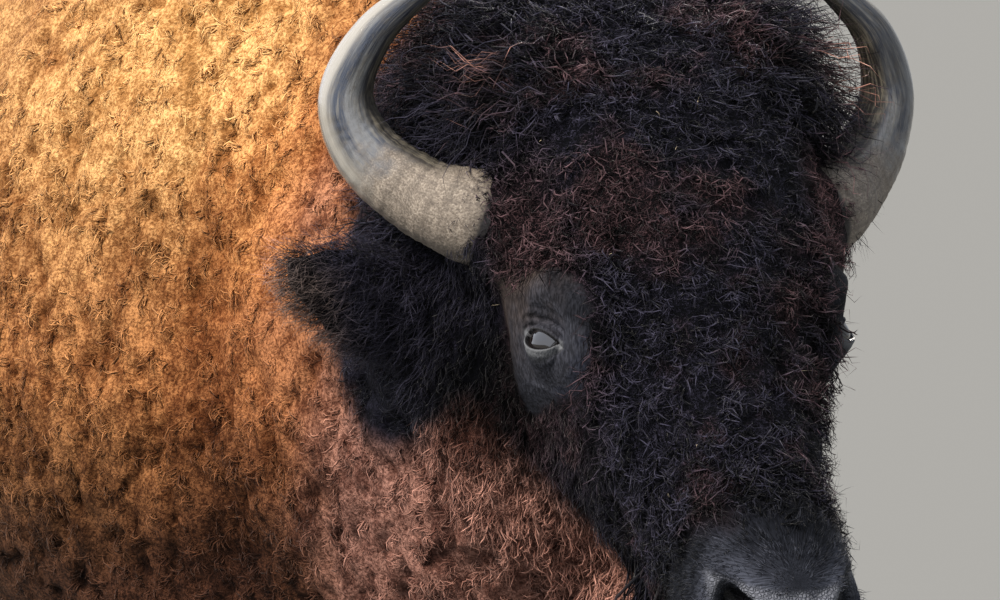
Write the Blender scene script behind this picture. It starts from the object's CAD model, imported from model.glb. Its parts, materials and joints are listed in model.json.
"""A life-size bison bull, standing, with one skin and a coat of wool and hair.

Laid out as an add-on: a group of settings, one operator for each kind of piece, and
a panel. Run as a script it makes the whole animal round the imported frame.
"""

import json
import math

import bmesh
import bpy
import numpy as np
from mathutils import Matrix, Vector, noise
from mathutils.bvhtree import BVHTree

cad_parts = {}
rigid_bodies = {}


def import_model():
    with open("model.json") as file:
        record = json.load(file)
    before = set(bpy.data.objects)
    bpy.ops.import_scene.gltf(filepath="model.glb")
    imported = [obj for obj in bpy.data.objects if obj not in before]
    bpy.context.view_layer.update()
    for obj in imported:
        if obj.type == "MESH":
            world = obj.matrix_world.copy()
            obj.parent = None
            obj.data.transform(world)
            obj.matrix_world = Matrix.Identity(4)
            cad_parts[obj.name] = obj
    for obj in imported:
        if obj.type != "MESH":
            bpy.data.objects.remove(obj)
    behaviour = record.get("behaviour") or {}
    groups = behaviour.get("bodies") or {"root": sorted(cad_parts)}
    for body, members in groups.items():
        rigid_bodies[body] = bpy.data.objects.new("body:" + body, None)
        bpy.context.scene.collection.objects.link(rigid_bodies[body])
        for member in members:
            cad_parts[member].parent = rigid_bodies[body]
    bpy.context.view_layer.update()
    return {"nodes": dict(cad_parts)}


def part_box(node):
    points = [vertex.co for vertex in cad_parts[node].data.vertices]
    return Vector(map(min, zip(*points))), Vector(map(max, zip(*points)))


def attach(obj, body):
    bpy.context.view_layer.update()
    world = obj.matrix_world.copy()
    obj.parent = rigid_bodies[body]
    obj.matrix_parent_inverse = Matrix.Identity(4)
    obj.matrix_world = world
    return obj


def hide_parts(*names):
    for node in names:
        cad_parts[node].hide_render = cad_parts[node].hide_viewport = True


bl_info = {
    "name": "Bison",
    "version": (1, 0, 0),
    "blender": (4, 5, 0),
    "location": "3D View > Sidebar > Bison",
    "description": "Makes a life-size bison with skin, coat, horns, eyes and hooves",
    "category": "Object",
}

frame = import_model()

# --- the head's own frame: to the animal's left, along the face, out of the forehead ------

SIDES = {"right": -1, "left": 1}
FACE_DROP = math.radians(46)   # face line below the horizontal


def middle_of(node):
    low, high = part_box(node)
    return (low + high) / 2


TO_LEFT = (middle_of("eye_left") - middle_of("eye_right")).normalized()
FORWARD = Vector((TO_LEFT.y, -TO_LEFT.x, 0))
TO_NOSE = FORWARD * math.cos(FACE_DROP) - Vector((0, 0, math.sin(FACE_DROP)))
TO_FRONT = FORWARD * math.sin(FACE_DROP) + Vector((0, 0, math.cos(FACE_DROP)))
EYE_RADIUS = (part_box("eye_right")[1].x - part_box("eye_right")[0].x) / 2
EYE_LOOK = Vector((0.702, 0.0, 0.712)).normalized()   # outward, to the nose, to the front
CORNEA = (0.1582, -0.0064, 0.0019)   # its place on the head
BETWEEN_EYES = ((middle_of("eye_left") + middle_of("eye_right")) / 2
                + TO_NOSE * (EYE_LOOK.y * EYE_RADIUS - CORNEA[1])
                + TO_FRONT * (EYE_LOOK.z * EYE_RADIUS - CORNEA[2]))
HEAD_AXES = np.array([TO_LEFT, TO_NOSE, TO_FRONT])


def on_head(left, nose, front):
    return BETWEEN_EYES + TO_LEFT * left + TO_NOSE * nose + TO_FRONT * front


def head_place(points):
    """Points of the model as left, nose and front in the head's frame."""
    return (points - np.array(BETWEEN_EYES)) @ HEAD_AXES.T


# --- settings ------------------------------------------------------------------------------

def hue(name, words, *shade):
    return bpy.props.FloatVectorProperty(name=name, description=words, default=shade, size=3,
                                         min=0, max=1, subtype="COLOR")


def span(name, words, metres):
    return bpy.props.FloatProperty(name=name, description=words, default=metres, min=0,
                                   precision=4, subtype="DISTANCE", unit="LENGTH")


def angle(name, words, degrees):
    return bpy.props.FloatProperty(name=name, description=words, default=math.radians(degrees),
                                   subtype="ANGLE", unit="ROTATION")


def amount(name, words, value, most=100.0):
    return bpy.props.FloatProperty(name=name, description=words, default=value, min=0, max=most)


class BISON_PG_colours(bpy.types.PropertyGroup):
    """Colours of the coat and the bare skin"""
    gold: hue("Gold", "Wool of hump and shoulder", 0.75, 0.45, 0.185)
    orange: hue("Orange", "Wool behind the head", 0.64, 0.26, 0.080)
    rust: hue("Rust", "Wool of cheeks and throat", 0.330, 0.172, 0.136)
    brown: hue("Brown", "Lower shoulder", 0.35, 0.142, 0.052)
    low: hue("Low", "Brisket and lowest shoulder", 0.042, 0.0175, 0.0115)
    dark: hue("Dark", "Blue-black wool of the mop", 0.0122, 0.0118, 0.0195)
    dark_red: hue("Dark red", "Red-brown patches of the mop", 0.036, 0.0200, 0.0215)
    flank: hue("Flank", "Short hair of the hindquarters", 0.100, 0.052, 0.030)
    leg: hue("Leg", "Hair of the lower legs", 0.016, 0.010, 0.008)
    muzzle: hue("Muzzle", "Short hair of the nose", 0.0165, 0.0185, 0.0255)
    ear_rim: hue("Ear rim", "Paler edge of the ears", 0.060, 0.046, 0.042)
    bare: hue("Bare", "Short-haired leaf round the eyes", 0.022, 0.0235, 0.031)
    leather: hue("Leather", "Bare pad between the nostrils", 0.105, 0.113, 0.138)
    straw: hue("Straw", "Bits of straw caught in the wool", 0.50, 0.42, 0.30)
    horn: hue("Horn", "Grey cork at the root of the horns", 0.255, 0.222, 0.185)
    hoof: hue("Hoof", "Worn wall of the hooves", 0.032, 0.027, 0.023)


class BISON_PG_hair(bpy.types.PropertyGroup):
    """Length of each kind of hair, and how much of it there is"""
    wool: span("Wool", "Curls of neck and shoulder", 0.021)
    frizz: span("Frizz", "Curls of the mop", 0.026)
    long: span("Long", "Curls inside the horns", 0.062)
    wavy: span("Wavy", "Hair of the cheeks", 0.028)
    lock: span("Lock", "Locks of beard, brisket, forelegs and tail", 0.085)
    short: span("Short", "Flat hair of flanks and hind legs", 0.030)
    fine: span("Fine", "Hair of the nose", 0.015)
    fuzz: span("Fuzz", "Hair of the ears", 0.032)
    straw: span("Straw", "Bits of straw", 0.015)
    cover: amount("Cover", "Number of tufts, as a share of the full coat", 1.0, 1.05)


class BISON_PG_body(bpy.types.PropertyGroup):
    """Sizes of the skin and the horns"""
    grid: span("Grid", "Width of the faces that the skin is fused with", 0.0118)
    plain_share: amount("Plain share", "Share of the faces that the plain parts keep", 0.20, 1.0)
    clump: span("Clump", "Width of the clumps that the curls gather in", 0.016)
    horn_root: span("Horn root", "Radius of a horn where it leaves the head", 0.0448)
    horn_tip: span("Horn tip", "Radius of a horn's rounded tip", 0.003)


class BISON_PG_studio(bpy.types.PropertyGroup):
    """Camera, floor and lights"""
    azimuth: angle("Azimuth", "Camera's turn round the animal from its front", -40)
    elevation: angle("Elevation", "Camera's height over the eyes as an angle", 5)
    distance: span("Distance", "From the camera to the middle between the eyes", 4.0)
    lens: bpy.props.FloatProperty(name="Lens", description="Focal length", default=156, min=10,
                                  unit="CAMERA")
    floor: hue("Floor", "Matt floor", 0.165, 0.172, 0.176)
    world: amount("World", "Strength of the even light from all sides", 0.50)
    key: amount("Key", "Strength of the warm light from the right of the animal", 8.4)
    sky: amount("Sky", "Strength of the broad light seen in gloss only", 4.6)
    rim: amount("Rim", "Strength of the light from behind", 1.5)


class BISON_PG_settings(bpy.types.PropertyGroup):
    """All settings of the model"""
    colours: bpy.props.PointerProperty(name="Colours", type=BISON_PG_colours)
    hair: bpy.props.PointerProperty(name="Hair", type=BISON_PG_hair)
    body: bpy.props.PointerProperty(name="Body", type=BISON_PG_body)
    studio: bpy.props.PointerProperty(name="Studio", type=BISON_PG_studio)


def settings():
    return bpy.context.scene.bison


# --- small tools for arrays ----------------------------------------------------------------

def ramp(value, start, end):
    """0 before start, 1 after end, smooth between."""
    t = np.clip((value - start) / (end - start), 0, 1)
    return t * t * (3 - 2 * t)


def bump_at(value, middle, width):
    """1 at the middle, falling to 0 on both sides."""
    return np.exp(-((value - middle) / width) ** 2)


def lengths(vectors):
    """The length of each row, as a column."""
    return np.linalg.norm(vectors, axis=1, keepdims=True)


def unit(vectors):
    return vectors / np.maximum(lengths(vectors), 1e-9)


def places(mesh):
    """The place of each vertex."""
    found = np.empty(len(mesh.vertices) * 3)
    mesh.vertices.foreach_get("co", found)
    return found.reshape(-1, 3)


def set_places(mesh, points):
    mesh.vertices.foreach_set("co", points.ravel())
    mesh.update()


def normals(mesh):
    found = np.empty(len(mesh.vertices) * 3)
    mesh.vertices.foreach_get("normal", found)
    return found.reshape(-1, 3)


def edges_of(mesh):
    found = np.empty(len(mesh.edges) * 2, np.int32)
    mesh.edges.foreach_get("vertices", found)
    return found.reshape(-1, 2)


def mean_round(values, edges):
    """The mean of each vertex's neighbours."""
    count = len(values)
    a, b = edges.T
    total = np.stack([np.bincount(a, values[b, k], count) + np.bincount(b, values[a, k], count)
                      for k in range(values.shape[1])], 1)
    near = np.bincount(a, minlength=count) + np.bincount(b, minlength=count)
    return total / np.maximum(near, 1)[:, None]


def eased(values, edges, times, share=0.5):
    """Values smoothed over the surface. The share may differ from vertex to vertex."""
    flat = values.ndim == 1
    values = values[:, None] if flat else values
    for _ in range(times):
        values = values + share * (mean_round(values, edges) - values)
    return values[:, 0] if flat else values


def steadied(points, edges, times, share):
    """Smooths a shape and keeps its girth."""
    for _ in range(times):
        for step in (0.5, -0.52):
            points = points + step * share * (mean_round(points, edges) - points)
    return points


def rough(points, size, seed=0.0, octaves=2):
    """Soft noise from -1 to 1 with features of that size."""
    shift = Vector((seed, 1.7 * seed, -seed))
    return np.array([noise.fractal(Vector(p) / size + shift, 0.7, 2.0, octaves)
                     for p in points])


def attribute(mesh, name, values):
    """Stores a number or a vector for each vertex."""
    values = np.asarray(values, np.float32)
    kind, key = ("FLOAT", "value") if values.ndim == 1 else ("FLOAT_VECTOR", "vector")
    made = mesh.attributes.get(name) or mesh.attributes.new(name, kind, "POINT")
    made.data.foreach_set(key, values.ravel())


def read(mesh, name):
    """The values of a stored attribute."""
    stored = mesh.attributes[name]
    single = stored.data_type == "FLOAT"
    found = np.empty(len(stored.data) * (1 if single else 3), np.float32)
    stored.data.foreach_get("value" if single else "vector", found)
    return found if single else found.reshape(-1, 3)


def closed_mesh(name, points, faces):
    """A smooth mesh whose faces look outward."""
    mesh = bpy.data.meshes.new(name)
    mesh.from_pydata([tuple(p) for p in points], [], faces)
    work = bmesh.new()
    work.from_mesh(mesh)
    bmesh.ops.recalc_face_normals(work, faces=work.faces)
    work.to_mesh(mesh)
    work.free()
    mesh.shade_smooth()
    return mesh


def new_object(name, mesh):
    """An object in the scene from a mesh or a bmesh."""
    if isinstance(mesh, bmesh.types.BMesh):
        data = bpy.data.meshes.new(name)
        mesh.to_mesh(data)
        mesh.free()
        mesh = data
    mesh.name = name
    thing = bpy.data.objects.new(name, mesh)
    bpy.context.scene.collection.objects.link(thing)
    return thing


def settled(thing):
    """Makes the modified shape the object's own mesh, and drops the modifiers."""
    graph = bpy.context.evaluated_depsgraph_get()
    data = bpy.data.meshes.new_from_object(thing.evaluated_get(graph))
    thing.modifiers.clear()
    old, thing.data = thing.data, data
    bpy.data.meshes.remove(old)
    return thing


def placed(thing, slot, *nodes):
    """A finished piece rides on the one body and takes its slot."""
    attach(thing, "root")
    if nodes:
        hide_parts(*nodes)


# --- skin ----------------------------------------------------------------------------------

LEGS = ("leg_front_right", "leg_front_left", "leg_hind_right", "leg_hind_left")
FLESH = ("head", "neck", "trunk", "tail", "beard", "ear_right", "ear_left", *LEGS)
SEAM = 0.0007          # each part swells by this, which closes the cuts between them


def near_side(points):
    """1 on the shoulder and neck beside the face, 0 elsewhere."""
    x, y, z = points.T
    return ramp(-x, -0.004, 0.004) * ramp(-y, 0.13, 0.19) * ramp(z, 0.66, 0.74)


# balls that fill the sockets of the horns and round the muzzle: left, nose, front, radius
FILLINGS = ((0.100, -0.124, 0.004, 0.074), (0.128, -0.140, 0.000, 0.078),
            (0.148, -0.152, -0.003, 0.074), (0.050, 0.345, -0.006, 0.022))


def fused_flesh():
    """The flesh nodes as one closed surface, its sockets filled."""
    whole = bmesh.new()
    for name in FLESH + ("eye_right", "eye_left"):
        part = bmesh.new()
        part.from_mesh(frame["nodes"][name].data)
        bmesh.ops.remove_doubles(part, verts=part.verts, dist=1e-5)
        part.normal_update()
        for vert in part.verts:
            vert.co += vert.normal * SEAM
        holder = bpy.data.meshes.new("part")
        part.to_mesh(holder)
        part.free()
        whole.from_mesh(holder)
        bpy.data.meshes.remove(holder)
    for sign in SIDES.values():
        for left, nose, front, radius in FILLINGS:
            spot = Matrix.Translation(on_head(sign * left, nose, front))
            bmesh.ops.create_uvsphere(whole, u_segments=24, v_segments=16, radius=radius,
                                      matrix=spot)
    flesh = new_object("skin", whole)
    fuse = flesh.modifiers.new("fuse", "REMESH")
    fuse.mode = "VOXEL"
    fuse.voxel_size = settings().body.grid
    settled(flesh)
    # larger faces away from the head and the near shoulder
    points = places(flesh.data)
    close = np.maximum(1 - ramp(lengths(points - np.array(BETWEEN_EYES))[:, 0], 0.50, 0.52),
                       near_side(points))
    group = flesh.vertex_groups.new(name="plain")
    plain = close < 0.02
    group.add(np.nonzero(plain)[0].tolist(), 1.0, "REPLACE")
    thin = flesh.modifiers.new("thin", "DECIMATE")
    thin.ratio = 1 - plain.mean() * (1 - settings().body.plain_share)
    thin.vertex_group = "plain"
    settled(flesh)
    flesh.vertex_groups.clear()
    return flesh


def surface_tree(mesh, points):
    """For rays and nearest points on a mesh whose vertices stand at the points."""
    return BVHTree.FromPolygons(points, [p.vertices[:] for p in mesh.polygons])


def shares_of(points, edges):
    """How much each vertex belongs to each flesh node, softened where they meet."""
    nearest = np.full(len(points), np.inf)
    owner = np.zeros(len(points), int)
    for i, name in enumerate(FLESH):
        data = frame["nodes"][name].data
        tree = surface_tree(data, [v.co for v in data.vertices])
        low, high = (np.array(corner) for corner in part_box(name))
        close = np.all((points > low - 0.03) & (points < high + 0.03), axis=1)
        for k in np.nonzero(close)[0]:
            found = tree.find_nearest(Vector(points[k]), 0.05)[3]
            if found is not None and found < nearest[k]:
                nearest[k], owner[k] = found, i
    member = np.eye(len(FLESH))[owner]
    soft = eased(member, edges, 8)
    return {name: soft[:, i] for i, name in enumerate(FLESH)}


def thickness_at(mesh, points, outward):
    """How thick the body is under each point."""
    tree = surface_tree(mesh, [Vector(p) for p in points])
    found = np.full(len(points), 1.0)
    for k, (point, normal) in enumerate(zip(points, outward)):
        normal = Vector(normal)
        hit = tree.ray_cast(Vector(point) - normal * 0.002, -normal, 0.5)[3]
        if hit is not None:
            found[k] = hit
    return found


def eye_axes(sign):
    """Ball middle, long way of the opening, way to the upper lid, and look."""
    def turned(left, nose, front):
        return (TO_LEFT * (-sign * left) + TO_NOSE * nose + TO_FRONT * front).normalized()
    side = "left" if sign > 0 else "right"
    look = turned(-EYE_LOOK.x, EYE_LOOK.y, EYE_LOOK.z)
    upward = turned(0.534, -0.661, 0.527)
    upward = (upward - look * upward.dot(look)).normalized()
    along = turned(0.471, 0.750, 0.464)
    along = (along - look * along.dot(look) - upward * along.dot(upward)).normalized()
    return middle_of(f"eye_{side}"), along, upward, look


def eye_place(points, sign):
    """Points as along the opening, towards the upper lid and along the look."""
    centre, along, upward, look = eye_axes(sign)
    away = points - np.array(centre)
    return away @ np.array(along), away @ np.array(upward), away @ np.array(look)


LEAF_TURN = (0.91, 0.42)        # along and across the opening, for the leaf's long way
LEAF_DEPTH = 0.07               # the leaf lies no farther in or out than this
FAR = 9.0                       # beyond every outline


def leaf_place(points, sign):
    """Along, across and out of the short-haired leaf by one eye."""
    p, q, w = eye_place(points, sign)
    a, b = LEAF_TURN
    return a * p - b * q, b * p + a * q, w


def leaf_round_eye(points):
    """Distance from the middle of the short-haired leaf by either eye, 1 at its outline."""
    found = np.full(len(points), FAR)
    for sign in SIDES.values():
        u, v, w = leaf_place(points, sign)
        leaf = np.hypot(u / np.where(u > 0, 0.056, 0.062), v / np.where(v > 0, 0.060, 0.072))
        tail = np.hypot((u + 0.055) / 0.032, (v + 0.004) / 0.022)
        low = 1 + (0.61 * u - 0.67 * v - 0.037) / 0.05
        mine = np.maximum(np.minimum(leaf, tail), low) + FAR * (np.abs(w) > LEAF_DEPTH)
        found = np.minimum(found, mine)
    return found


def bare_round_eye(points):
    """1 on the short-haired leaf round each eye, 0 in the wool."""
    return 1 - ramp(leaf_round_eye(points), 0.94, 1.06)


def refined(mesh, *tests):
    """Splits the edges whose two ends pass the test, once for each test."""
    work = bmesh.new()
    work.from_mesh(mesh)
    for test in tests:
        edges = [e for e in work.edges if all(test(v) for v in e.verts)]
        bmesh.ops.subdivide_edges(work, edges=edges, cuts=1, use_grid_fill=True)
    work.to_mesh(mesh)
    work.free()
    mesh.update()


def close_to(middle, radius):
    return lambda vert: (vert.co - middle).length < radius


def pits_of(points):
    """How deep the coat is pressed in at each place between its clumps."""
    z = points[:, 2]
    depth = 0.62 + 1.0 * rough(points, 0.13, 5.0, 1) + 0.35 * ramp(1.34 - z, 0, 0.3)
    hung = points * np.array((1.0, 1.0, 0.62))
    wide = settings().body.clump
    level = 0.75 * rough(hung, wide, 31.0, 2) + 0.65 * rough(hung, 2.3 * wide, 14.0, 2)
    return ramp(-level, 0.06, 0.70) * np.clip(depth, 0.20, 1.2)


OPENING = (-0.0008, 0.0198, 0.0022)   # middle and half length along, height of its corners


def lid_margin(p):
    """Upper and lower edge of the opening between the lids."""
    share = np.clip(1 - ((p - OPENING[0]) / OPENING[1]) ** 2, 0, 1)
    return OPENING[2] + 0.0032 * share ** 0.7, OPENING[2] - 0.0146 * share ** 0.6


def folds(over, *rows):
    """Rolls and creases along a lid: the height, place and width of each."""
    return sum(height * bump_at(over, place, width) for height, place, width in rows)


def lids(points, sign):
    """Moves the skin round one eye into lids and a brow. Also gives the masks of the rim, the
    wet opening and the folds."""
    look = eye_axes(sign)[3]
    p, q, w = eye_place(points, sign)
    away = np.hypot(p, q)
    near = (away < 0.080) & (w > -0.02)
    ball = np.sqrt(np.maximum(EYE_RADIUS ** 2 - away ** 2, 0))
    cover = np.sqrt(np.maximum((EYE_RADIUS + 0.0032) ** 2 - away ** 2, 0))
    blend = 1 - ramp(away, 0.018, 0.030)
    height = w + blend * (np.maximum(cover, w - 0.004) - w)
    upper, lower = lid_margin(p)
    middle = (upper + lower) / 2
    out_p = np.maximum(np.abs(p - OPENING[0]) - OPENING[1], 0)
    over = np.where(q > middle, q - upper, lower - q)
    over = np.where(out_p > 0, np.hypot(out_p, q - OPENING[2]), over)
    inside = 1 - ramp(over, -0.0009, 0.0004)
    above = ramp(q - np.where(out_p > 0, OPENING[2], middle), -0.002, 0.004)
    below = 1 - above
    # rolled rims, much thicker below
    height += 0.0016 * bump_at(over, 0.0022, 0.0018) * (0.4 * above + 1.3 * below)
    # upper lid: a plump roll, its fold, a second faint fold, and the brow over them
    reach = 1 - ramp(np.abs(p - 0.002), 0.022, 0.044)
    height += above * reach * folds(
        over, (0.0010, 0.0030, 0.0016), (-0.0012, 0.0058, 0.0010), (0.0010, 0.0084, 0.0016),
        (-0.0015, 0.0118, 0.0013), (0.0008, 0.0150, 0.0018), (-0.0006, 0.0185, 0.0014),
        (0.0040, 0.0300, 0.0120))
    # lower lid: a soft fold and the hollow under it
    height += below * reach * folds(
        over, (-0.0014, 0.0082, 0.0016), (0.0010, 0.0120, 0.0022), (-0.0020, 0.0230, 0.0080))
    # the crease that runs on from the inner corner towards the nose
    past = np.clip((p - 0.019) / 0.022, 0, 1)
    line = OPENING[2] - 0.0012 - 0.30 * (p - 0.019)
    crease = np.where(p > 0.016, bump_at(q, line, 0.0015), 0) * (1 - past)
    height -= 0.0026 * crease * ramp(p, 0.016, 0.021)
    height += 0.0014 * np.where(p > 0.017, bump_at(q, line + 0.0038, 0.0016), 0) * (1 - past)
    floor = np.where(p > 0.0145, ball + 0.0008 - 0.6 * (p - 0.0145), ball - 0.0045)
    height = np.where(inside > 0, height + inside * (np.minimum(floor, height) - height), height)
    moved = points + np.where(near, height - w, 0)[:, None] * np.array(look)
    fold = near * (above * reach * folds(over, (1, 0.0054, 0.0011), (1, 0.0109, 0.0012),
                                         (0.5, 0.0163, 0.0011))
                   + 0.5 * below * reach * bump_at(over, 0.0092, 0.0014) + crease)
    rim = (below * bump_at(over, 0.0034, 0.0034)
           + 0.10 * above * bump_at(over, 0.0010, 0.0008)) * near
    wet = np.maximum(inside, 0.8 * bump_at(over, 0.0002, 0.0007)) * near
    return moved, np.clip(rim, 0, 1), wet, np.clip(fold, 0, 1)


NOSTRIL = (0.061, 0.333, 0.026)     # its middle on the head
PAD_SLANT = (0.773, -0.634)         # to the nose and to the front, the way down the pad


def nostril_place(local, sign):
    """Along, across and out of one nostril's slanted oval."""
    out = np.array((sign * 0.622, 0.481, 0.618))
    long = np.array((-sign * 0.594, 0.804, -0.027))
    out, long = out / np.linalg.norm(out), long / np.linalg.norm(long)
    wide = np.cross(out, long) * sign
    away = local - np.array((sign * NOSTRIL[0], *NOSTRIL[1:]))
    a, b, c = away @ long, away @ wide, away @ out
    return a, b - 9.0 * a * a, c, out


def muzzle(points):
    """Nostrils, the groove of the pad and the line of the mouth, and the mask of each."""
    local = head_place(points)
    left, nose, front = local.T
    moved = local.copy()
    hole = np.zeros(len(points))
    wing = np.zeros(len(points))
    for sign in SIDES.values():
        a, b, c, out = nostril_place(local, sign)
        r = np.hypot(a / 0.034, b / 0.0205)
        near = np.abs(c) < 0.05
        pit = np.sqrt(np.clip(1 - r * r, 0, 1)) * near
        moved -= (0.026 * pit)[:, None] * out
        lip = bump_at(r, 1.30, 0.28) * near
        moved += (0.0042 * lip)[:, None] * out
        hole = np.maximum(hole, (1 - ramp(r, 0.80, 1.02)) * near)
        wing = np.maximum(wing, bump_at(r, 1.55, 0.42) * near)
    face = ramp(nose, 0.30, 0.34)
    groove = bump_at(left, 0, 0.0035) * face * ramp(front, -0.075, -0.055)
    moved[:, 1] -= 0.0030 * groove
    line = -0.062 - 0.10 * (0.385 - nose) - 0.9 * left ** 2
    mouth = bump_at(front, line, 0.0045) * ramp(nose, 0.19, 0.25)
    lip = bump_at(front, line + 0.013, 0.008) * ramp(nose, 0.21, 0.29)
    inward = unit(local - np.array((0, 0.27, -0.05)))
    moved -= (0.0075 * mouth)[:, None] * inward
    moved += (0.0030 * lip)[:, None] * inward
    slant = PAD_SLANT[0] * nose + PAD_SLANT[1] * front
    top = 0.2210 - 4.5 * left ** 2
    pad = ramp(slant, top - 0.003, top + 0.003) * ramp(front, line + 0.004, line + 0.012)
    pad *= 1 - ramp(np.abs(left), 0.064, 0.071)
    moved -= (0.0022 * pad)[:, None] * inward
    return (np.array(BETWEEN_EYES) + moved @ HEAD_AXES), hole, pad, mouth, wing


def coat_depth(points, share):
    """How far the skin lies inside the tips of the coat."""
    nose, front = head_place(points).T[1:]
    y, z = points.T[1:]
    head = np.where(nose > 0.24, 0.004, 0.016 + 0.012 * ramp(front, -0.05, 0.05))
    head = head + (0.004 - head) * ramp(nose, 0.17, 0.29)
    cape = 0.028 - 0.018 * ramp(y, 0.15, 0.62)
    foreleg = 0.006 + 0.022 * ramp(z, 0.33, 0.48)
    hindleg = 0.005 + 0.007 * ramp(z, 0.45, 0.70)
    tail = 0.006 + 0.014 * (1 - ramp(z, 0.84, 0.96))
    depth = (share["head"] * head + share["neck"] * 0.028 + share["trunk"] * cape
             + share["tail"] * tail + share["beard"] * 0.035
             + (share["ear_right"] + share["ear_left"]) * 0.010)
    for leg in LEGS:
        depth += share[leg] * (foreleg if "front" in leg else hindleg)
    return depth * (1 - bare_round_eye(points)) + 0.001


def furrows(points, share):
    """1 in the creases where the wool of neck and shoulder parts, 0 between them."""
    y, z = points.T[1:]
    body = np.clip(share["trunk"] + share["neck"], 0, 1)
    ridge = 1 - 3.2 * np.abs(rough(points * np.array((1.0, 1.0, 0.30)), 0.075, 21.0))
    found = np.clip(ridge, 0, 1) ** 2
    broad = bump_at(y, -0.53 + 0.10 * (z - 1.1), 0.050) * ramp(1.36 - z, 0, 0.12)
    return np.maximum(found, 0.8 * broad) * body * ramp(z, 0.70, 0.95)


def curled_coat(points, zone):
    """1 where clumps of curls show: the mop, and the near neck and shoulder."""
    body = (zone["neck"] + zone["cape"]) * near_side(points) * (1 - zone["fringe"])
    near = ramp(-head_place(points)[:, 0], -0.02, 0.02)
    curled = np.clip(body + zone["mop"] + 0.8 * near * zone["cheek"], 0, 1)
    for sign in SIDES.values():
        root = np.array(on_head(sign * 0.135, -0.142, 0.0))
        curled = curled * ramp(lengths(points - root)[:, 0], 0.085, 0.115)
        spot = np.array(eye_axes(sign)[0])
        curled = curled * ramp(lengths(points - spot)[:, 0], 0.075, 0.105)
    return curled


def shading(points, share, furrow):
    """How light the coat is at each place: less in furrows, under the ear, by the jaw."""
    left, nose, front = head_place(points).T
    shade = 1 - 0.45 * furrow
    for sign in SIDES.values():
        under_ear = np.hypot(np.hypot((left * sign - 0.165) / 0.055, (nose + 0.045) / 0.075),
                             (front + 0.13) / 0.09)
        shade *= 1 - 0.75 * (1 - ramp(under_ear, 0.5, 1.2))
        u, v, w = leaf_place(points, sign)
        brow = np.hypot((u - 0.012) / 0.062, (v - 0.046) / 0.014)
        brow += FAR * (np.abs(w) > LEAF_DEPTH)
        shade *= 1 - 0.55 * (1 - ramp(brow, 0.5, 1.2))
        cheek_line = bump_at(front, -0.62 * (nose - 0.02) - 0.010, 0.011)
        cheek_line *= ramp(nose, 0.03, 0.08) * (1 - ramp(nose, 0.20, 0.26)) * share["head"]
        shade *= 1 - 0.30 * cheek_line
    # darkest where the mop hangs over the nose
    return shade * (1 - 0.66 * ramp(nose, 0.19, 0.225) * (1 - ramp(nose, 0.262, 0.315)))


def sunk(mesh):
    """Moves the fused flesh inward by the depth of the coat, with waves and furrows."""
    edges = edges_of(mesh)
    points = places(mesh)
    share = shares_of(points, edges)
    fine = share["head"] + share["ear_right"] + share["ear_left"]
    thin = sum(share[leg] for leg in LEGS) + share["tail"] + share["beard"]
    stiff = np.clip(1 - 0.75 * np.clip(fine, 0, 1) - 0.5 * np.clip(thin, 0, 1), 0.2, 1)
    points = steadied(points, edges, 26, stiff[:, None])
    set_places(mesh, points)
    thick = thickness_at(mesh, points, normals(mesh))
    ears = np.clip(share["ear_right"] + share["ear_left"], 0, 1)
    depth = np.minimum(coat_depth(points, share), (0.36 - 0.16 * ears) * thick)
    depth = eased(depth, edges, 5)
    body = share["trunk"] + share["neck"]
    waves = 0.006 * rough(points, 0.16, 3.0) + 0.003 * rough(points, 0.06, 8.0)
    depth += (waves * body * ramp(depth, 0.012, 0.026)
              + 0.010 * furrows(points, share))
    points = points - normals(mesh) * depth[:, None]
    set_places(mesh, points)
    for name, values in share.items():
        attribute(mesh, name, values)
    return points, share


def crumpled(mesh, points, share):
    """Splits the faces where the coat is curled, and gives them lumps and pits."""
    chosen = curled_coat(points, zones(points, share))
    refined(mesh, lambda vert: chosen[vert.index] > 0.3)
    points, outward = places(mesh), normals(mesh)
    curled = curled_coat(points, zones(points, flesh_shares(mesh)))
    pits = pits_of(points) * curled
    lumps = rough(points, 1.7 * settings().body.clump, 12.0, 1) * curled
    set_places(mesh, points + outward * (0.0026 * lumps - 0.0060 * pits)[:, None])
    attribute(mesh, "pits", pits)


def faced(mesh):
    """Gives the head its lids and its muzzle. Returns the points and the mask of each part."""
    eyes = [eye_axes(sign)[0] + eye_axes(sign)[3] * EYE_RADIUS for sign in SIDES.values()]
    snout = on_head(0, 0.335, -0.012)
    refined(mesh, *(close_to(eyes[0], r) for r in (0.085, 0.062, 0.046, 0.030)),
            *(close_to(eyes[1], r) for r in (0.080, 0.055, 0.038)),
            *(close_to(snout, r) for r in (0.130, 0.100)))
    points = places(mesh)
    touched = np.zeros(len(points))
    for spot, radius in ((eyes[0], 0.070), (eyes[1], 0.070), (snout, 0.115)):
        away = lengths(points - np.array(spot))[:, 0]
        touched = np.maximum(touched, 1 - ramp(away, radius * 0.8, radius))
    points = eased(points, edges_of(mesh), 14, 0.6 * touched[:, None])
    mask = {name: np.zeros(len(points)) for name in ("rim", "wet", "fold")}
    for sign in SIDES.values():
        points, *more = lids(points, sign)
        mask = {name: np.maximum(mask[name], new) for name, new in zip(mask, more)}
    points, *more = muzzle(points)
    mask.update(zip(("hole", "pad", "mouth", "wing"), more))
    set_places(mesh, points)
    return points, mask


def flesh_shares(mesh):
    """How much each vertex of the skin belongs to each flesh node, as stored on it."""
    return {name: read(mesh, name) for name in FLESH}


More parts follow.
